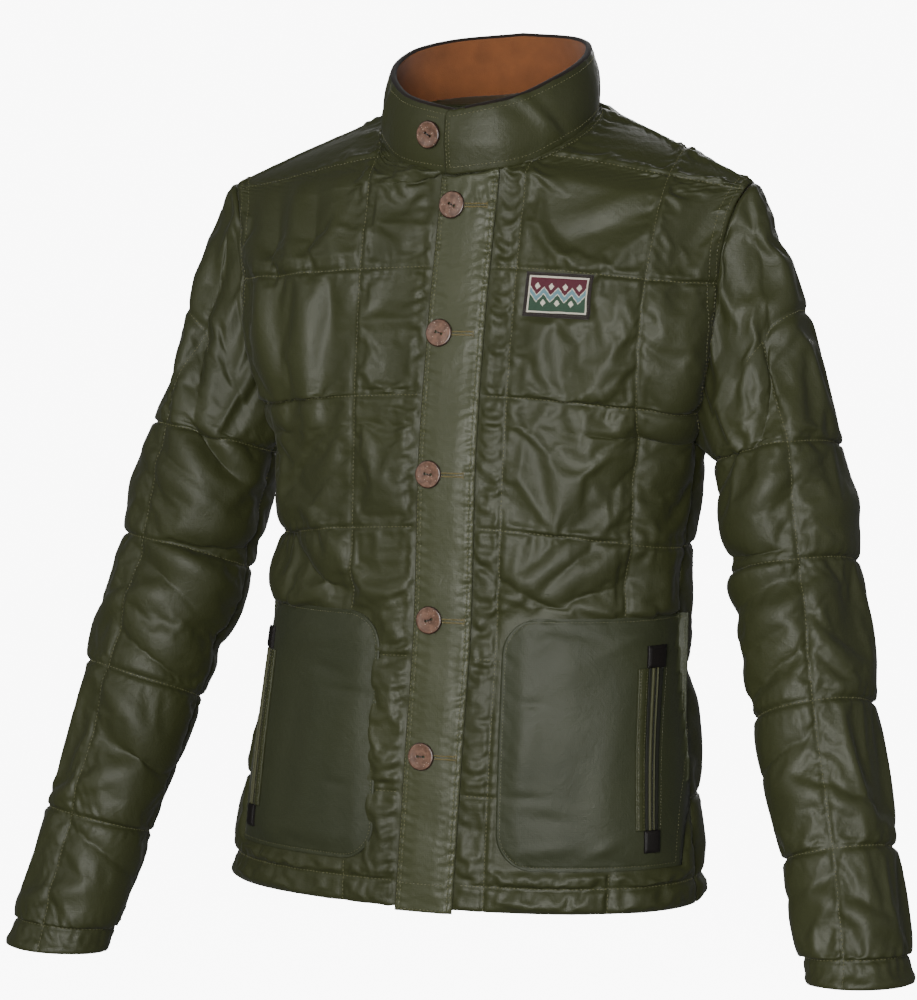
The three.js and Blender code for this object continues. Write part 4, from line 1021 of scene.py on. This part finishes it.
def collar_run(at_turn, at_height):
    """Places and normals on the collar's outside along a line of stitches."""
    r = np.clip(np.asarray(at_height, float) * rows, 0, rows)
    c = np.clip((np.asarray(at_turn, float) - COLLAR_ENDS[0]) / (COLLAR_ENDS[1] - COLLAR_ENDS[0]), 0, 1)
    r, c = np.broadcast_arrays(r, c * columns)
    r0, c0 = np.minimum(r.astype(int), rows - 1), np.minimum(c.astype(int), columns - 1)
    fr, fc = (r - r0)[:, None], (c - c0)[:, None]
    values = []
    for grid in (collar_outside, collar_normals):
        low = grid[r0, c0] * (1 - fc) + grid[r0, c0 + 1] * fc
        high = grid[r0 + 1, c0] * (1 - fc) + grid[r0 + 1, c0 + 1] * fc
        values.append(low * (1 - fr) + high * fr)
    return values


mm_turn = 1 / (math.radians(1) * NECK_SIZE["width"])
whole = np.linspace(COLLAR_ENDS[0], COLLAR_ENDS[1] + 3 * mm_turn, 400)
end_up = np.linspace(0.08, 0.88, 30)
under_line = np.linspace(-17, -9, 12)
runs = [
    stitches_along(*collar_run(whole, 0.11)), stitches_along(*collar_run(whole, 0.9)),
    stitches_along(*collar_run(under_line, 0.82), pitch=2.0, length=1.9),
    stitches_along(*collar_run(COLLAR_ENDS[1] + 2.2 * mm_turn, end_up)),
    stitches_along(*collar_run(COLLAR_ENDS[1] + 4.8 * mm_turn, end_up[1:-1])),
]
collar_stitches = thread_mesh("collar_topstitching", runs, olive_thread)

# The lining is a strip of the suede-like cloth inside the stand.
lining_turn = np.linspace(COLLAR_ENDS[0] - 9, COLLAR_ENDS[1] + 9, columns + 1)[None, :]
lining_foot = -0.1 - 0.18 * smooth_step(25, 60, from_front(lining_turn))
lining_height = lining_foot + np.linspace(0, 1, rows + 1)[:, None] * (0.965 - lining_foot)
nap = ripples(np.radians(lining_turn) * NECK_SIZE["width"], lining_height * STAND, 8, 0.25)
lining = wall_mesh(
    "collar_suede_lining", collar_points(lining_turn, lining_height, -1.5 + 0.3 * nap),
    collar_points(lining_turn, lining_height, -0.35)[::2, ::2], 2, suede_side, suede_side,
)
dress(lining, "suede_lining", "collar_lining")

# The binding is a dark folded tape over the top edge of both.
binding_cloth = brushed_suede("dark_brown_binding_tape_woven", "#211710", "#120C08", sheen=0.05)
path = collar_points(turn[0, 2:-9], np.full(columns - 10, 0.99), 0.7)
way = unit((path - [0, NECK_SIZE["y"], 0]) * [1, 1, 0])
ring = np.radians(np.arange(10) * 36)
section = path[:, None] + way[:, None] * (2.7 * np.cos(ring))[None, :, None]
section = section + np.array([0, 0, 1]) * (1.6 * np.sin(ring))[None, :, None]
index = grid_index(len(path), len(ring), closed=True)
faces = quads(index).tolist() + [index[0, :-1][::-1].tolist(), index[-1, :-1].tolist()]
mesh = new_mesh("collar_binding", section.reshape(-1, 3), faces, binding_cloth)
mesh.polygons.foreach_set("use_smooth", [True] * len(faces))
binding = put_in_scene("collar_binding", mesh)
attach(binding, "root")

# Placket: a strip of plain nylon sewn over the left front's edge from neck to hem. Two rows of
# stitches near each edge gather it into small puckers, and it carries the five buttonholes.
PLACKET = {"half": 25, "below": 4, "bottom": -676, "lift": 3.6, "thick": 2.4}
PLACKET_STITCHES = (1.6, 4.4)  # from its edges
HOLE_END = 50  # a buttonhole is at least this far from the placket's ends


def surface_reader(places):
    """Reads places and normals on the fronts at any x and z, from a grid that runs up them."""
    pitch, reach = 2, 4
    across, level = np.arange(-214.0, 214.1, pitch), np.arange(-690.0, -60, pitch)
    depth = np.array([np.interp(across, row[:, 0], row[:, 1]) for row in places])
    height = np.array([np.interp(across, row[:, 0], row[:, 2]) for row in places])
    lattice = np.array([np.interp(level, height[:, k], depth[:, k]) for k in range(len(across))])

    def depth_at(x, z):
        i = np.clip((x - across[0]) / pitch, 0, len(across) - 1.01)
        j = np.clip((z - level[0]) / pitch, 0, len(level) - 1.01)
        i0, j0 = i.astype(int), j.astype(int)
        a, b = i - i0, j - j0
        low = lattice[i0, j0] * (1 - a) + lattice[i0 + 1, j0] * a
        return low * (1 - b) + (lattice[i0, j0 + 1] * (1 - a) + lattice[i0 + 1, j0 + 1] * a) * b

    def on_surface(x, z, lift=0.0):
        x, z = np.broadcast_arrays(np.asarray(x, float), np.asarray(z, float))
        slope_x = (depth_at(x + reach, z) - depth_at(x - reach, z)) / (2 * reach)
        slope_z = (depth_at(x, z + reach) - depth_at(x, z - reach)) / (2 * reach)
        normals = unit(stack(slope_x, -1, slope_z))
        return stack(x, depth_at(x, z), z) + normals * np.asarray(lift)[..., None], normals

    return on_surface


def laid_piece(name, x, z, low, high, material, slot_name, nodes):
    """A sewn-on piece: its outside at one height above the fronts' inside, and its underside."""
    outside, _ = on_fronts(x, z, high)
    inside, _ = on_fronts(x[::2, ::2], z[::2, ::2], low)
    piece = wall_mesh(name, outside, inside, 2, material, material)
    dress(piece, slot_name, *nodes)


# Painted sheen: the placket's nylon is coloured lighter than the body's nylon, standing in for the brighter
# shine of its flat, smooth face. It is also a little less rough.
placket_nylon_painted_sheen = taffeta("olive_nylon_taffeta_painted_sheen", "#454830", "#383B24", roughness=0.44)
on_fronts = surface_reader(np.concatenate([front_places[-1][:, ::-1], front_places[1]], axis=1))
up = np.linspace(0, 1, 401)[:, None]
beside_middle = np.linspace(-1, 1, 41)[None, :] * PLACKET["half"]
top = neck_points(0.0)[2] - PLACKET["below"]
z = PLACKET["bottom"] + (top - PLACKET["bottom"]) * up + 0 * beside_middle
x = read(BODY, "z", z, "meet") + beside_middle
neck_z = neck_points(np.degrees(np.arcsin(x / NECK_SIZE["width"])))[..., 2] - PLACKET["below"]
z = PLACKET["bottom"] + (neck_z - PLACKET["bottom"]) * up
from_edge = PLACKET["half"] - np.abs(beside_middle) + 0 * z
end = np.minimum(z - PLACKET["bottom"], neck_z - z)


def placket_height(from_edge, end, x, z):
    side = np.where(x > read(BODY, "z", z, "meet"), 31.0, 0.0)
    near = np.minimum(from_edge, end + 1)
    height = PLACKET["lift"] + 1.0 + 1.4 * smooth_step(0, 2, near) + 0.8 * smooth_step(6, 18, near)
    for at in PLACKET_STITCHES:
        height = height - 0.7 * groove(from_edge, at, 0.8)
    waves = ripples(z + side, from_edge, 21, 1.35, 5.5, 13)
    height = height + waves * np.exp(-from_edge / 7) * smooth_step(0.2, 3, from_edge)
    height = height + ripples(z * 0.7, x * 1.5, 22, 0.75, 24, 80) * smooth_step(2, 14, from_edge)
    return height + 1.2 * groove(z, -95, 9) * ripples(x * 1.6, z, 23, 0.8, 9, 20)


def on_placket(x, z, lift, end=HOLE_END, level=None):
    """Places and normals this far above the placket's outside. Level is where its middle is read."""
    middle = read(BODY, "z", z if level is None else level, "meet")
    from_edge = PLACKET["half"] - np.abs(x - middle)
    return on_fronts(x, z, placket_height(from_edge, end, x, z) + lift)


height = placket_height(from_edge, end, x, z)
runs = []
for sign in (-1, 1):
    for at in PLACKET_STITCHES:
        line_z = np.linspace(PLACKET["bottom"] + 2, -77, 400)
        line_x = read(BODY, "z", line_z, "meet") + sign * (PLACKET["half"] - at)
        runs.append(stitches_along(*on_placket(line_x, line_z, 0.1, 9.0)))
for at in (2.0, 23.0):
    line_x = np.linspace(-PLACKET["half"] + 2, PLACKET["half"] - 2, 40)
    line_z = np.full(40, PLACKET["bottom"] + at)
    line_x = line_x + read(BODY, "z", line_z, "meet")
    runs.append(stitches_along(*on_placket(line_x, line_z, 0.1, at)))
placket_stitches = thread_mesh("placket_topstitching", runs, olive_thread)

# Buttonholes: two rows of dense satin stitch with a bar at the end, in a golden olive thread.
BUTTON_PLACES = [(-12, -101), (-13, -205), (-14, -319), (-10, -438), (-9, -549)]
HOLE = {"from": 5, "to": 29, "half": 2.3, "slit": 0.3, "pitch": 0.42}
gold_thread = spun_thread("golden_olive_polyester_thread_spun", "#6E6230")
runs = []
for aside, hole_z in BUTTON_PLACES:
    middle = read(BODY, "z", hole_z, "meet") + aside
    line_x = np.arange(middle + HOLE["from"], middle + HOLE["to"], HOLE["pitch"])
    wobble = 0.2 * np.sin(line_x * 5.1) + 0.15 * np.sin(line_x * 2.3)
    for sign in (-1, 1):
        ends = []
        for away in (HOLE["slit"], HOLE["half"]):
            line_z = hole_z + sign * (away + wobble)
            place, way = on_placket(line_x, line_z, 0.05, level=hole_z)
            ends.append(place)
        runs.append((ends[0], ends[1], way))
    bar_z = np.linspace(hole_z - HOLE["half"] - 0.3, hole_z + HOLE["half"] + 0.3, 7)
    ends = []
    for bar_x in (middle + HOLE["to"] - 0.4, middle + HOLE["to"] + 1.8):
        place, way = on_placket(np.full(bar_z.shape, bar_x), bar_z, 0.1, level=hole_z)
        ends.append(place)
    runs.append((ends[0], ends[1], way))
buttonholes = thread_mesh("placket_buttonholes", runs, gold_thread, thick=0.65, lift=0.35)

laid_piece(
    "placket_strip", x, z, PLACKET["lift"], height, placket_nylon_painted_sheen, "quilted_nylon", ["placket"],
)

# Patch pockets: plain nylon with round corners towards the middle, sewn on with one row of stitches
# close to the edge. The cloth is slack between the stitches, with shallow dents.
POCKET_THICK = {"lift": 3.2, "edge": 0.9, "middle": 2.6}
POCKET_SEAM, POCKET_MIDDLE = 3, -540  # stitches inside its edge, and the level the dents turn about
POCKET_DENTS = table(
    "x z lean long wide rise",
    (75, -579, 0, 22, 4, -1.4), (98, -596, -0.15, 18, 6, -1.5), (84, -503, 0, 10, 4, -1.2),
    (120, -470, 0.5, 40, 16, 1.4), (78, -540, 5, 50, 12, 1.3), (125, -560, 5, 60, 14, -1.2),
    (150, -500, 6, 60, 12, 1.0), (100, -620, 0.2, 30, 6, 0.9), (140, -620, 0.6, 14, 5, 1.3),
    (112, -446, -0.3, 30, 6, -1.1), (150, -452, 0.7, 18, 6, 1.2), (90, -455, 0.9, 16, 6, 1.0),
)
pocket_cloth = taffeta("olive_nylon_taffeta_pocket", "#353922", "#292D1A", roughness=0.56)


def pocket_edge(side, z, inset=0.0):
    """The inner and outer edge of a pocket at heights, or of a line this far inside it."""
    corner = POCKET_CORNER - inset
    from_end = np.clip(np.minimum(POCKET["top"] - z, z - POCKET["bottom"]) - inset, 0, corner)
    inner = POCKET["inner"] + inset + corner - np.sqrt(corner**2 - (corner - from_end) ** 2)
    inner = inner + (0 if side > 0 else POCKET["right_inset"])
    share = (POCKET["top"] - z) / (POCKET["top"] - POCKET["bottom"])
    return inner, POCKET["outer"] + POCKET["flare"] * share - inset + side_lean(side, z)


def side_lean(side, z):
    return 0 if side > 0 else -read(BODY, "z", z, "lean") / 2


def pocket_height(side, x, z):
    """Height of a pocket's outside above the front's inside, at distances from the middle."""
    inner, outer = pocket_edge(side, z)
    ends = np.minimum(POCKET["top"] - z, z - POCKET["bottom"])
    near = np.maximum(0, np.minimum(np.minimum(x - inner, outer - x), ends))
    height = POCKET_THICK["lift"] + POCKET_THICK["edge"] + POCKET_THICK["middle"] * smooth_step(0, 20, near)
    height = height - 0.5 * groove(near, POCKET_SEAM, 1.0)
    gathers = ripples(x + z, x - z, 31 + side, 0.5, 8, 22)
    height = height + gathers * np.exp(-near / 9) * smooth_step(0, POCKET_SEAM, near)
    dents = fold_rise(POCKET_DENTS, x, z if side > 0 else 2 * POCKET_MIDDLE - z)
    waves = 0.6 * ripples(x, z * 0.8, 41 + side, 0.8, 30, 90)
    return height + dents * smooth_step(0, 14, near) + waves * smooth_step(4, 20, near)


for side, name in ((1, "left"), (-1, "right")):
    end = np.linspace(0, 1, 25) ** 1.6 * POCKET_CORNER
    z = np.concatenate([
        POCKET["bottom"] + end[:-1],
        np.linspace(POCKET["bottom"] + POCKET_CORNER, POCKET["top"] - POCKET_CORNER, 77),
        (POCKET["top"] - end[:-1])[::-1],
    ])[:, None]
    inner, outer = pocket_edge(side, z)
    share = np.linspace(0, 1, 71)[None, :]
    x = inner + (outer - inner) * share
    z = z + 0 * x
    height = pocket_height(side, x, z)
    low_z, high_z = POCKET["bottom"] + POCKET_SEAM, POCKET["top"] - POCKET_SEAM
    line_z = np.linspace(low_z, high_z, 200)
    inner, outer = pocket_edge(side, line_z, POCKET_SEAM)
    turn = np.radians(np.linspace(0, 90, 24))
    corner = POCKET_CORNER - POCKET_SEAM
    shift = 0 if side > 0 else POCKET["right_inset"]
    middle_x = POCKET["inner"] + POCKET_CORNER + shift
    around_x = np.concatenate([
        np.linspace(outer[0], middle_x, 60), middle_x - corner * np.sin(turn)[1:],
        np.full(80, middle_x - corner), middle_x - corner * np.cos(turn)[1:],
        np.linspace(middle_x, outer[-1], 60),
    ])
    around_z = np.concatenate([
        np.full(60, low_z), low_z + corner - corner * np.cos(turn)[1:],
        np.linspace(low_z + corner, high_z - corner, 80),
        high_z - corner + corner * np.sin(turn)[1:], np.full(60, high_z),
    ])
    runs = []
    for line_x, at_z in ((around_x, around_z), (outer, line_z)):
        line_up = pocket_height(side, line_x, at_z) + 0.1
        runs.append(stitches_along(*on_fronts(side * line_x, at_z, line_up), pitch=2.9, length=2.1))
    pocket_stitches = thread_mesh(f"pocket_{name}_stitches", runs, olive_thread, thick=0.5)
    laid_piece(
        f"pocket_{name}_patch", side * x, z, POCKET_THICK["lift"] - 0.3, height, pocket_cloth,
        "pocket_cloth", [f"pocket_{name}"],
    )

# Pocket zips: a coil zip in the pocket's outer edge, with a stitched welt on its inner side. A tab
# of dark leather covers each end, and the top one hides the closed slider.
ZIP = {"x": 165, "slant": 5, "top": -476, "bottom": -606, "tape": 9, "welt": 7, "gap": 0.3}
ZIP_TAB = {"width": 11, "height": 18, "thick": 1.6}
ZIP_SEAT = 1.0
ZIP_SLOPE = math.cos(math.radians(38))  # the front turns back here, so a width looks this much less
# The zip tape's near-black colour is partly its own dark dye and partly painted shade: it stands in for the
# shadow that the tape lies in beside the zip.
zip_tape_dark_and_painted_shade = taffeta("dark_olive_zip_tape_painted_shade_woven", "#1E2016", "#14150E", roughness=0.7)
lip_cloth = taffeta("olive_zip_lip_woven", "#48492C", "#37381F", roughness=0.6)
coil_nylon = spun_thread("black_nylon_coil_extruded", "#15150F")
dark_leather = brushed_suede("dark_brown_leather_tanned", "#171210", "#0E0B09", 0.0, 0.6)


def zip_place(side, z):
    share = (ZIP["top"] - z) / (ZIP["top"] - ZIP["bottom"])
    return ZIP["x"] + ZIP["slant"] * share + side_lean(side, z)


def zip_strip(name, side, z, low, high, rise, material, slot_name, nodes):
    """A strip along the zip between two distances from its middle, this high on the pocket."""
    share = np.linspace(0, 1, 17)[None, :]
    x = zip_place(side, z[:, None]) + (low + (high - low) * share) * ZIP_SLOPE
    at_z = z[:, None] + 0 * x
    level = pocket_height(side, x, at_z) + ZIP_SEAT
    high_up = level + rise(z[:, None], share)
    under = (level - 0.6)[::2, ::2]
    laid_piece(name, side * x, at_z, under, high_up, material, slot_name, nodes)


for side, name in ((1, "left"), (-1, "right")):
    z = np.linspace(ZIP["bottom"], ZIP["top"], 121)
    half, gap = ZIP["tape"] / 2, ZIP["gap"]

    def tape_rise(z, share):
        return 0.5 + 0 * z + 0 * share

    def lip_rise(z, share):
        return 1.0 + 1.0 * np.sqrt(np.maximum(0, 1 - (2 * share - 1) ** 2)) + 0 * z

    def welt_rise(z, share):
        dents = 0.35 * (groove(share * ZIP["welt"], 1.3, 0.6) + groove(share * ZIP["welt"], 5.6, 0.6))
        body = 0.5 + 1.1 * np.sqrt(np.maximum(0, 1 - (2 * share - 1) ** 4))
        return body - dents + ripples(z, share * 7, 51 + side, 0.22, 6, 16)

    def tab_rise(z, share):
        middle = 0.5 * (z.max() + z.min())
        ends = np.abs(z - middle) / (z.max() - middle)
        near = np.maximum(np.abs(2 * share - 1), ends)
        return 0.5 + ZIP_TAB["thick"] * (1 - 0.55 * smooth_step(0.72, 1, near))

    zip_strip(f"zip_{name}_tape_woven", side, z, -half, half, tape_rise, zip_tape_dark_and_painted_shade, "zip_tape",
              [f"zip_{name}_tape"])
    for way, low, high in (("inner", -2.4, -0.6), ("outer", 0.7, 1.6)):
        zip_strip(f"zip_{name}_lip_{way}", side, z, low, high, lip_rise, lip_cloth, "zip_tape",
                  [f"zip_{name}_tape"])
    welt_end = -half - gap
    zip_strip(f"zip_{name}_welt_folded", side, z, welt_end - ZIP["welt"], welt_end, welt_rise,
              plain_nylon, "quilted_nylon", [f"zip_{name}_welt"])
    runs = []
    for away in (welt_end - 5.6, welt_end - 1.3, half + 2.5):
        line_x = zip_place(side, z) + away * ZIP_SLOPE
        up = pocket_height(side, line_x, z) + (ZIP_SEAT + 1.35 if away < 0 else 0.1)
        runs.append(stitches_along(*on_fronts(side * line_x, z, up), pitch=2.6, length=1.9))
    thread_mesh(f"zip_{name}_stitches", runs, olive_thread, thick=0.5)

    tooth_z = np.arange(ZIP["bottom"] + 1, ZIP["top"] - 1, 1.3)
    line_x = zip_place(side, tooth_z)
    ends = []
    for away in (-0.75, 0.75):
        up = pocket_height(side, line_x, tooth_z) + ZIP_SEAT + 1.1
        ends.append(on_fronts(side * (line_x + away), tooth_z + away * 0.5, up))
    thread_mesh(f"zip_{name}_coil", [(ends[0][0], ends[1][0], ends[0][1])], coil_nylon, thick=0.7)

    for way, low in (("top", ZIP["top"] + gap), ("bottom", ZIP["bottom"] - gap - ZIP_TAB["height"])):
        tab_z = np.linspace(low, low + ZIP_TAB["height"], 25)
        half_tab = ZIP_TAB["width"] / 2
        zip_strip(f"zip_{name}_tab_{way}_leather", side, tab_z, -half_tab, half_tab, tab_rise, dark_leather,
                  "dark_leather", [f"zip_{name}_tab_{way}"])

# Chest patch: a woven and embroidered badge with a turned dark border, sewn on round its edge. Its
# design is a generic one: a zigzag band between two fields with small diamonds, in a pale frame.
PATCH_THREADS = {
    "border": "#2A211C", "frame": "#DCD6C2", "wine": "#5C1F2E", "blue": "#6F97A0",
    "green": "#33503C", "diamond": "#E4DECB",
}
PATCH_FRAME, PATCH_LINE = 3.2, 1.5
ZIGZAG = {"count": 4, "tall": 3.4, "half": 2.6, "diamond": 6.6}


def woven_threads(name, colour):
    """Fine woven polyester: weft ribs, drawn 0.8 mm apart, with a slight shade between threads."""
    material, place = new_material(name)
    ribs = add_node(material, "ShaderNodeTexWave", {"wave_type": "BANDS", "bands_direction": "Z",
                    "Scale": 380.0, "Distortion": 0.6, "Detail": 1.0},
                    {"Vector": place})
    blotch = add_node(material, "ShaderNodeTexNoise", {"Scale": 700.0, "Detail": 2.0},
                      {"Vector": place})
    dark = [c * 0.6 for c in linear(colour)[:3]] + [1]
    shades = add_node(material, "ShaderNodeMix", {"data_type": "RGBA", 6: dark, 7: linear(colour)},
                      {0: blotch.outputs["Fac"]})
    bump = add_node(material, "ShaderNodeBump", {"Strength": 0.5, "Distance": 0.0004},
                    {"Height": ribs.outputs["Fac"]})
    shader = add_node(material, "ShaderNodeBsdfPrincipled", {"Roughness": 0.7, "IOR": 1.45,
                      "Sheen Weight": 0.15},
                      {"Base Color": shades.outputs[2], "Normal": bump.outputs["Normal"]})
    return finish_material(material, shader)


def patch_colours(x, z):
    """Which thread shows at each place, from the patch's middle."""
    half_x, half_z = PATCH["width"] / 2, PATCH["height"] / 2
    inside = np.minimum(half_x - np.abs(x), half_z - np.abs(z))
    pitch = (PATCH["width"] - 2 * (PATCH_FRAME + PATCH_LINE)) / ZIGZAG["count"]
    local = (x + pitch * ZIGZAG["count"] / 2) % pitch - pitch / 2
    middle = ZIGZAG["tall"] * (4 * np.abs(local) / pitch - 1)
    above = z - middle
    band = np.where(above > ZIGZAG["half"], "wine", np.where(above > -ZIGZAG["half"], "blue", "green"))
    upper = np.abs(local) / 2.4 + np.abs(z - ZIGZAG["diamond"]) / 2.9 < 1
    lower = (pitch / 2 - np.abs(local)) / 2.4 + np.abs(z + ZIGZAG["diamond"]) / 2.9 < 1
    lower = lower & (np.abs(x) < pitch * 1.5)
    edge = np.abs(np.abs(above) - ZIGZAG["half"]) < 0.45
    shown = np.where(upper | lower | edge, "diamond", band)
    shown = np.where(inside < PATCH_FRAME + PATCH_LINE, "frame", shown)
    return np.where(inside < PATCH_FRAME, "border", shown)


cell = 0.5
columns, rows = int(PATCH["width"] / cell), int(PATCH["height"] / cell)
across = (np.arange(columns + 1) / columns - 0.5) * PATCH["width"]
upward = (np.arange(rows + 1) / rows - 0.5) * PATCH["height"]
local_x, local_z = np.meshgrid(across, upward)
tilt = math.radians(-2.5)
on_chest = surface_reader(front_outer[1][0])


def on_patch(across, upward, lift):
    """Places and normals this far above the chest, at places on the tilted patch."""
    x = PATCH["x"] + across * math.cos(tilt) - upward * math.sin(tilt)
    z = PATCH["z"] + across * math.sin(tilt) + upward * math.cos(tilt)
    return on_chest(x, z, lift)


inside = np.minimum(PATCH["width"] / 2 - np.abs(local_x), PATCH["height"] / 2 - np.abs(local_z))
raised = patch_colours(local_x, local_z)
rise = 1.4 + 0.25 * np.isin(raised, ["frame", "diamond"]) - 0.7 * (1 - smooth_step(0, 1.2, inside))
rise = rise + 0.45 * smooth_step(0.3, 1.2, inside) * smooth_step(3.4, 2.4, inside)
outside, _ = on_patch(local_x, local_z, rise)
under, _ = on_patch(local_x[::2, ::2], local_z[::2, ::2], 0.15)
threads = {
    name: woven_threads(f"{name}_polyester_woven", colour) for name, colour in PATCH_THREADS.items()
}
patch = wall_mesh("chest_patch_woven", outside, under, 2, threads["border"], threads["border"])
names = list(PATCH_THREADS)
for name in names[1:]:
    patch.data.materials.append(threads[name])
slots = {name: index + 1 for index, name in enumerate(names)}
slots["border"] = 0
middle_x, middle_z = (local_x[:-1, :-1] + cell / 2).ravel(), (local_z[:-1, :-1] + cell / 2).ravel()
picked = [slots[str(name)] for name in patch_colours(middle_x, middle_z)]
for polygon, index in zip(patch.data.polygons[:rows * columns], picked):
    polygon.material_index = index
dress(patch, "woven_patch", "chest_patch")
line = 1.3
half_x, half_z = PATCH["width"] / 2 - line, PATCH["height"] / 2 - line
corner_x = np.array([-half_x, half_x, half_x, -half_x, -half_x])
corner_z = np.array([-half_z, -half_z, half_z, half_z, -half_z])
at = np.linspace(0, 4, 241)
line_x, line_z = np.interp(at, range(5), corner_x), np.interp(at, range(5), corner_z)
places, ways = on_patch(line_x, line_z, 1.95)
brown_thread = spun_thread("dark_brown_polyester_thread_spun", "#3A2E26")
patch_stitches = thread_mesh(
    "chest_patch_stitches", [stitches_along(places, ways, 1.6, 1.3)], brown_thread, thick=0.4,
)

# Buttons: two-hole discs turned from coconut shell, reddish brown with pale flecks and a polished,
# slightly dished face. Each is sewn on through its holes with a few turns of dark thread.
BUTTON = {"radius": 11.5, "thick": 2.6, "hole": 1.15, "spread": 2.6, "stand": 0.9, "placket": 5.8}
BUTTON_PROFILE = table(
    "radius height",
    (0, 2.05), (4.5, 2.1), (8.3, 2.35), (9.8, 2.6), (10.7, 2.5), (11.3, 2.0), (11.5, 1.4),
    (11.3, 0.6), (10.4, 0.1), (8, 0), (0, 0),
)


def turned_shell(name, colour, dark, fleck):
    """Polished coconut shell: mottled fibres, pale flecks and a clear satin wax."""
    material, place = new_material(name)
    mottle = add_node(material, "ShaderNodeTexNoise", {"Scale": 260.0, "Detail": 6.0,
                      "Roughness": 0.65}, {"Vector": place})
    steep = add_node(material, "ShaderNodeMapRange", {"From Min": 0.35, "From Max": 0.65},
                     {"Value": mottle.outputs["Fac"]})
    brown = add_node(material, "ShaderNodeMix", {"data_type": "RGBA", 6: linear(dark),
                     7: linear(colour)}, {0: steep.outputs["Result"]})
    spots = add_node(material, "ShaderNodeTexVoronoi", {"Scale": 420.0},
                     {"Vector": place})
    near = add_node(material, "ShaderNodeMapRange", {"From Min": 0.16, "From Max": 0.08},
                    {"Value": spots.outputs["Distance"]})
    shades = add_node(material, "ShaderNodeMix", {"data_type": "RGBA", 7: linear(fleck)},
                      {0: near.outputs["Result"], 6: brown.outputs[2]})
    bump = add_node(material, "ShaderNodeBump", {"Strength": 0.25, "Distance": 0.0003},
                    {"Height": mottle.outputs["Fac"]})
    shader = add_node(material, "ShaderNodeBsdfPrincipled", {"Roughness": 0.34, "IOR": 1.5,
                      "Coat Weight": 0.25, "Coat Roughness": 0.2},
                      {"Base Color": shades.outputs[2], "Normal": bump.outputs["Normal"]})
    return finish_material(material, shader)


coconut = turned_shell("coconut_shell_turned_polished", "#7A5B4A", "#4E372B", "#CDB8A6")
coconut_rim = turned_shell("coconut_shell_turned_edge", "#3A2720", "#271913", "#6A4C40")
sewing_thread = spun_thread("dark_brown_button_thread_spun", "#1E1712")


def button_mesh():
    """A turned disc with two holes through it, face up along +Z."""
    around = 48
    radius, height = BUTTON_PROFILE["radius"], BUTTON_PROFILE["height"]
    turn = np.arange(around) * 2 * np.pi / around
    points = [(0, 0, height[0])]
    for r, h in zip(radius[1:-1], height[1:-1]):
        points += [(r * math.cos(t), r * math.sin(t), h) for t in turn]
    points.append((0, 0, height[-1]))
    last = len(points) - 1
    faces = [(0, 1 + k, 1 + (k + 1) % around) for k in range(around)]
    for ring in range(len(radius) - 3):
        a = 1 + ring * around
        faces += [
            (a + k, a + around + k, a + around + (k + 1) % around, a + (k + 1) % around)
            for k in range(around)
        ]
    a = last - around
    faces += [(a + k, last, a + (k + 1) % around) for k in range(around)]
    mesh = new_mesh("button_blank", points, faces, coconut, coconut_rim)
    mesh.polygons.foreach_set("use_smooth", [True] * len(faces))
    for polygon in mesh.polygons:
        if math.hypot(*polygon.center[:2]) > 10.9 * MM:
            polygon.material_index = 1
    blank = put_in_scene("button_blank", mesh)
    for away in (-BUTTON["spread"], BUTTON["spread"]):
        ring = [
            (away + BUTTON["hole"] * math.cos(t), BUTTON["hole"] * math.sin(t), level)
            for level in (-2, 5) for t in np.arange(20) * math.pi / 10
        ]
        sides = [(k, (k + 1) % 20, 20 + (k + 1) % 20, 20 + k) for k in range(20)]
        faces = sides + [tuple(range(20))[::-1], tuple(range(20, 40))]
        drill = put_in_scene("drill", new_mesh("drill", ring, faces, coconut_rim))
        cut = blank.modifiers.new("hole", "BOOLEAN")
        cut.operation, cut.object, cut.solver = "DIFFERENCE", drill, "EXACT"
        shown = blank.evaluated_get(bpy.context.evaluated_depsgraph_get())
        cut_mesh = bpy.data.meshes.new_from_object(shown)
        blank.modifiers.clear()
        blank.data = cut_mesh
        bpy.data.objects.remove(drill)
    made = blank.data
    bpy.data.objects.remove(blank)
    return made


def place_button(name, base, normal, upward, spin):
    """Puts a button and its thread on the cloth, its face along the normal."""
    upward = unit(upward - normal * np.dot(upward, normal))
    aside = np.cross(upward, normal)
    turned = aside * math.cos(spin) + upward * math.sin(spin)
    other = np.cross(normal, turned)
    axes = np.stack([turned, other, normal], axis=1)
    mesh = shared_button.copy()
    count = len(mesh.vertices)
    points = np.empty(count * 3, np.float32)
    mesh.vertices.foreach_get("co", points)
    points = points.reshape(-1, 3) @ axes.T + base * MM
    mesh.vertices.foreach_set("co", points.astype(np.float32).ravel())
    mesh.update()
    button = put_in_scene(f"{name}_turned", mesh)
    dress(button, "coconut_shell", name)
    runs = []
    for shift in (-0.45, 0.0, 0.45):
        ends = [
            base + turned * s * BUTTON["spread"] + other * shift + normal * 1.9 for s in (-1, 1)
        ]
        runs.append((ends[0][None], ends[1][None], normal[None]))
    thread_mesh(f"{name}_thread", runs, sewing_thread, thick=0.55, lift=0.5)


shared_button = button_mesh()
SPINS = [-0.45, -0.3, -0.1, 0.35, 0.0]
for number, ((aside, at_z), spin) in enumerate(zip(BUTTON_PLACES, SPINS), start=1):
    at_x = read(BODY, "z", at_z, "meet") + aside
    lift = BUTTON["placket"] + BUTTON["stand"]
    base, normal = on_fronts(at_x, at_z, lift)
    above, _ = on_fronts(at_x, at_z + BUTTON["radius"], lift)
    place_button(f"button_{number}", base, normal, above - base, spin)

# The collar's button sits on its under end, half covered by the lapping tab.
turn, height = -14.5, 0.5
base = collar_points(turn, height, COLLAR["thick"] + 0.95)
upward = collar_points(turn, height + 0.1) - collar_points(turn, height - 0.1)
normal = unit(np.cross(upward, collar_points(turn + 1, height) - collar_points(turn - 1, height)))
if normal[1] > 0:
    normal = -normal
place_button("collar_button", base, normal, upward, -0.5)
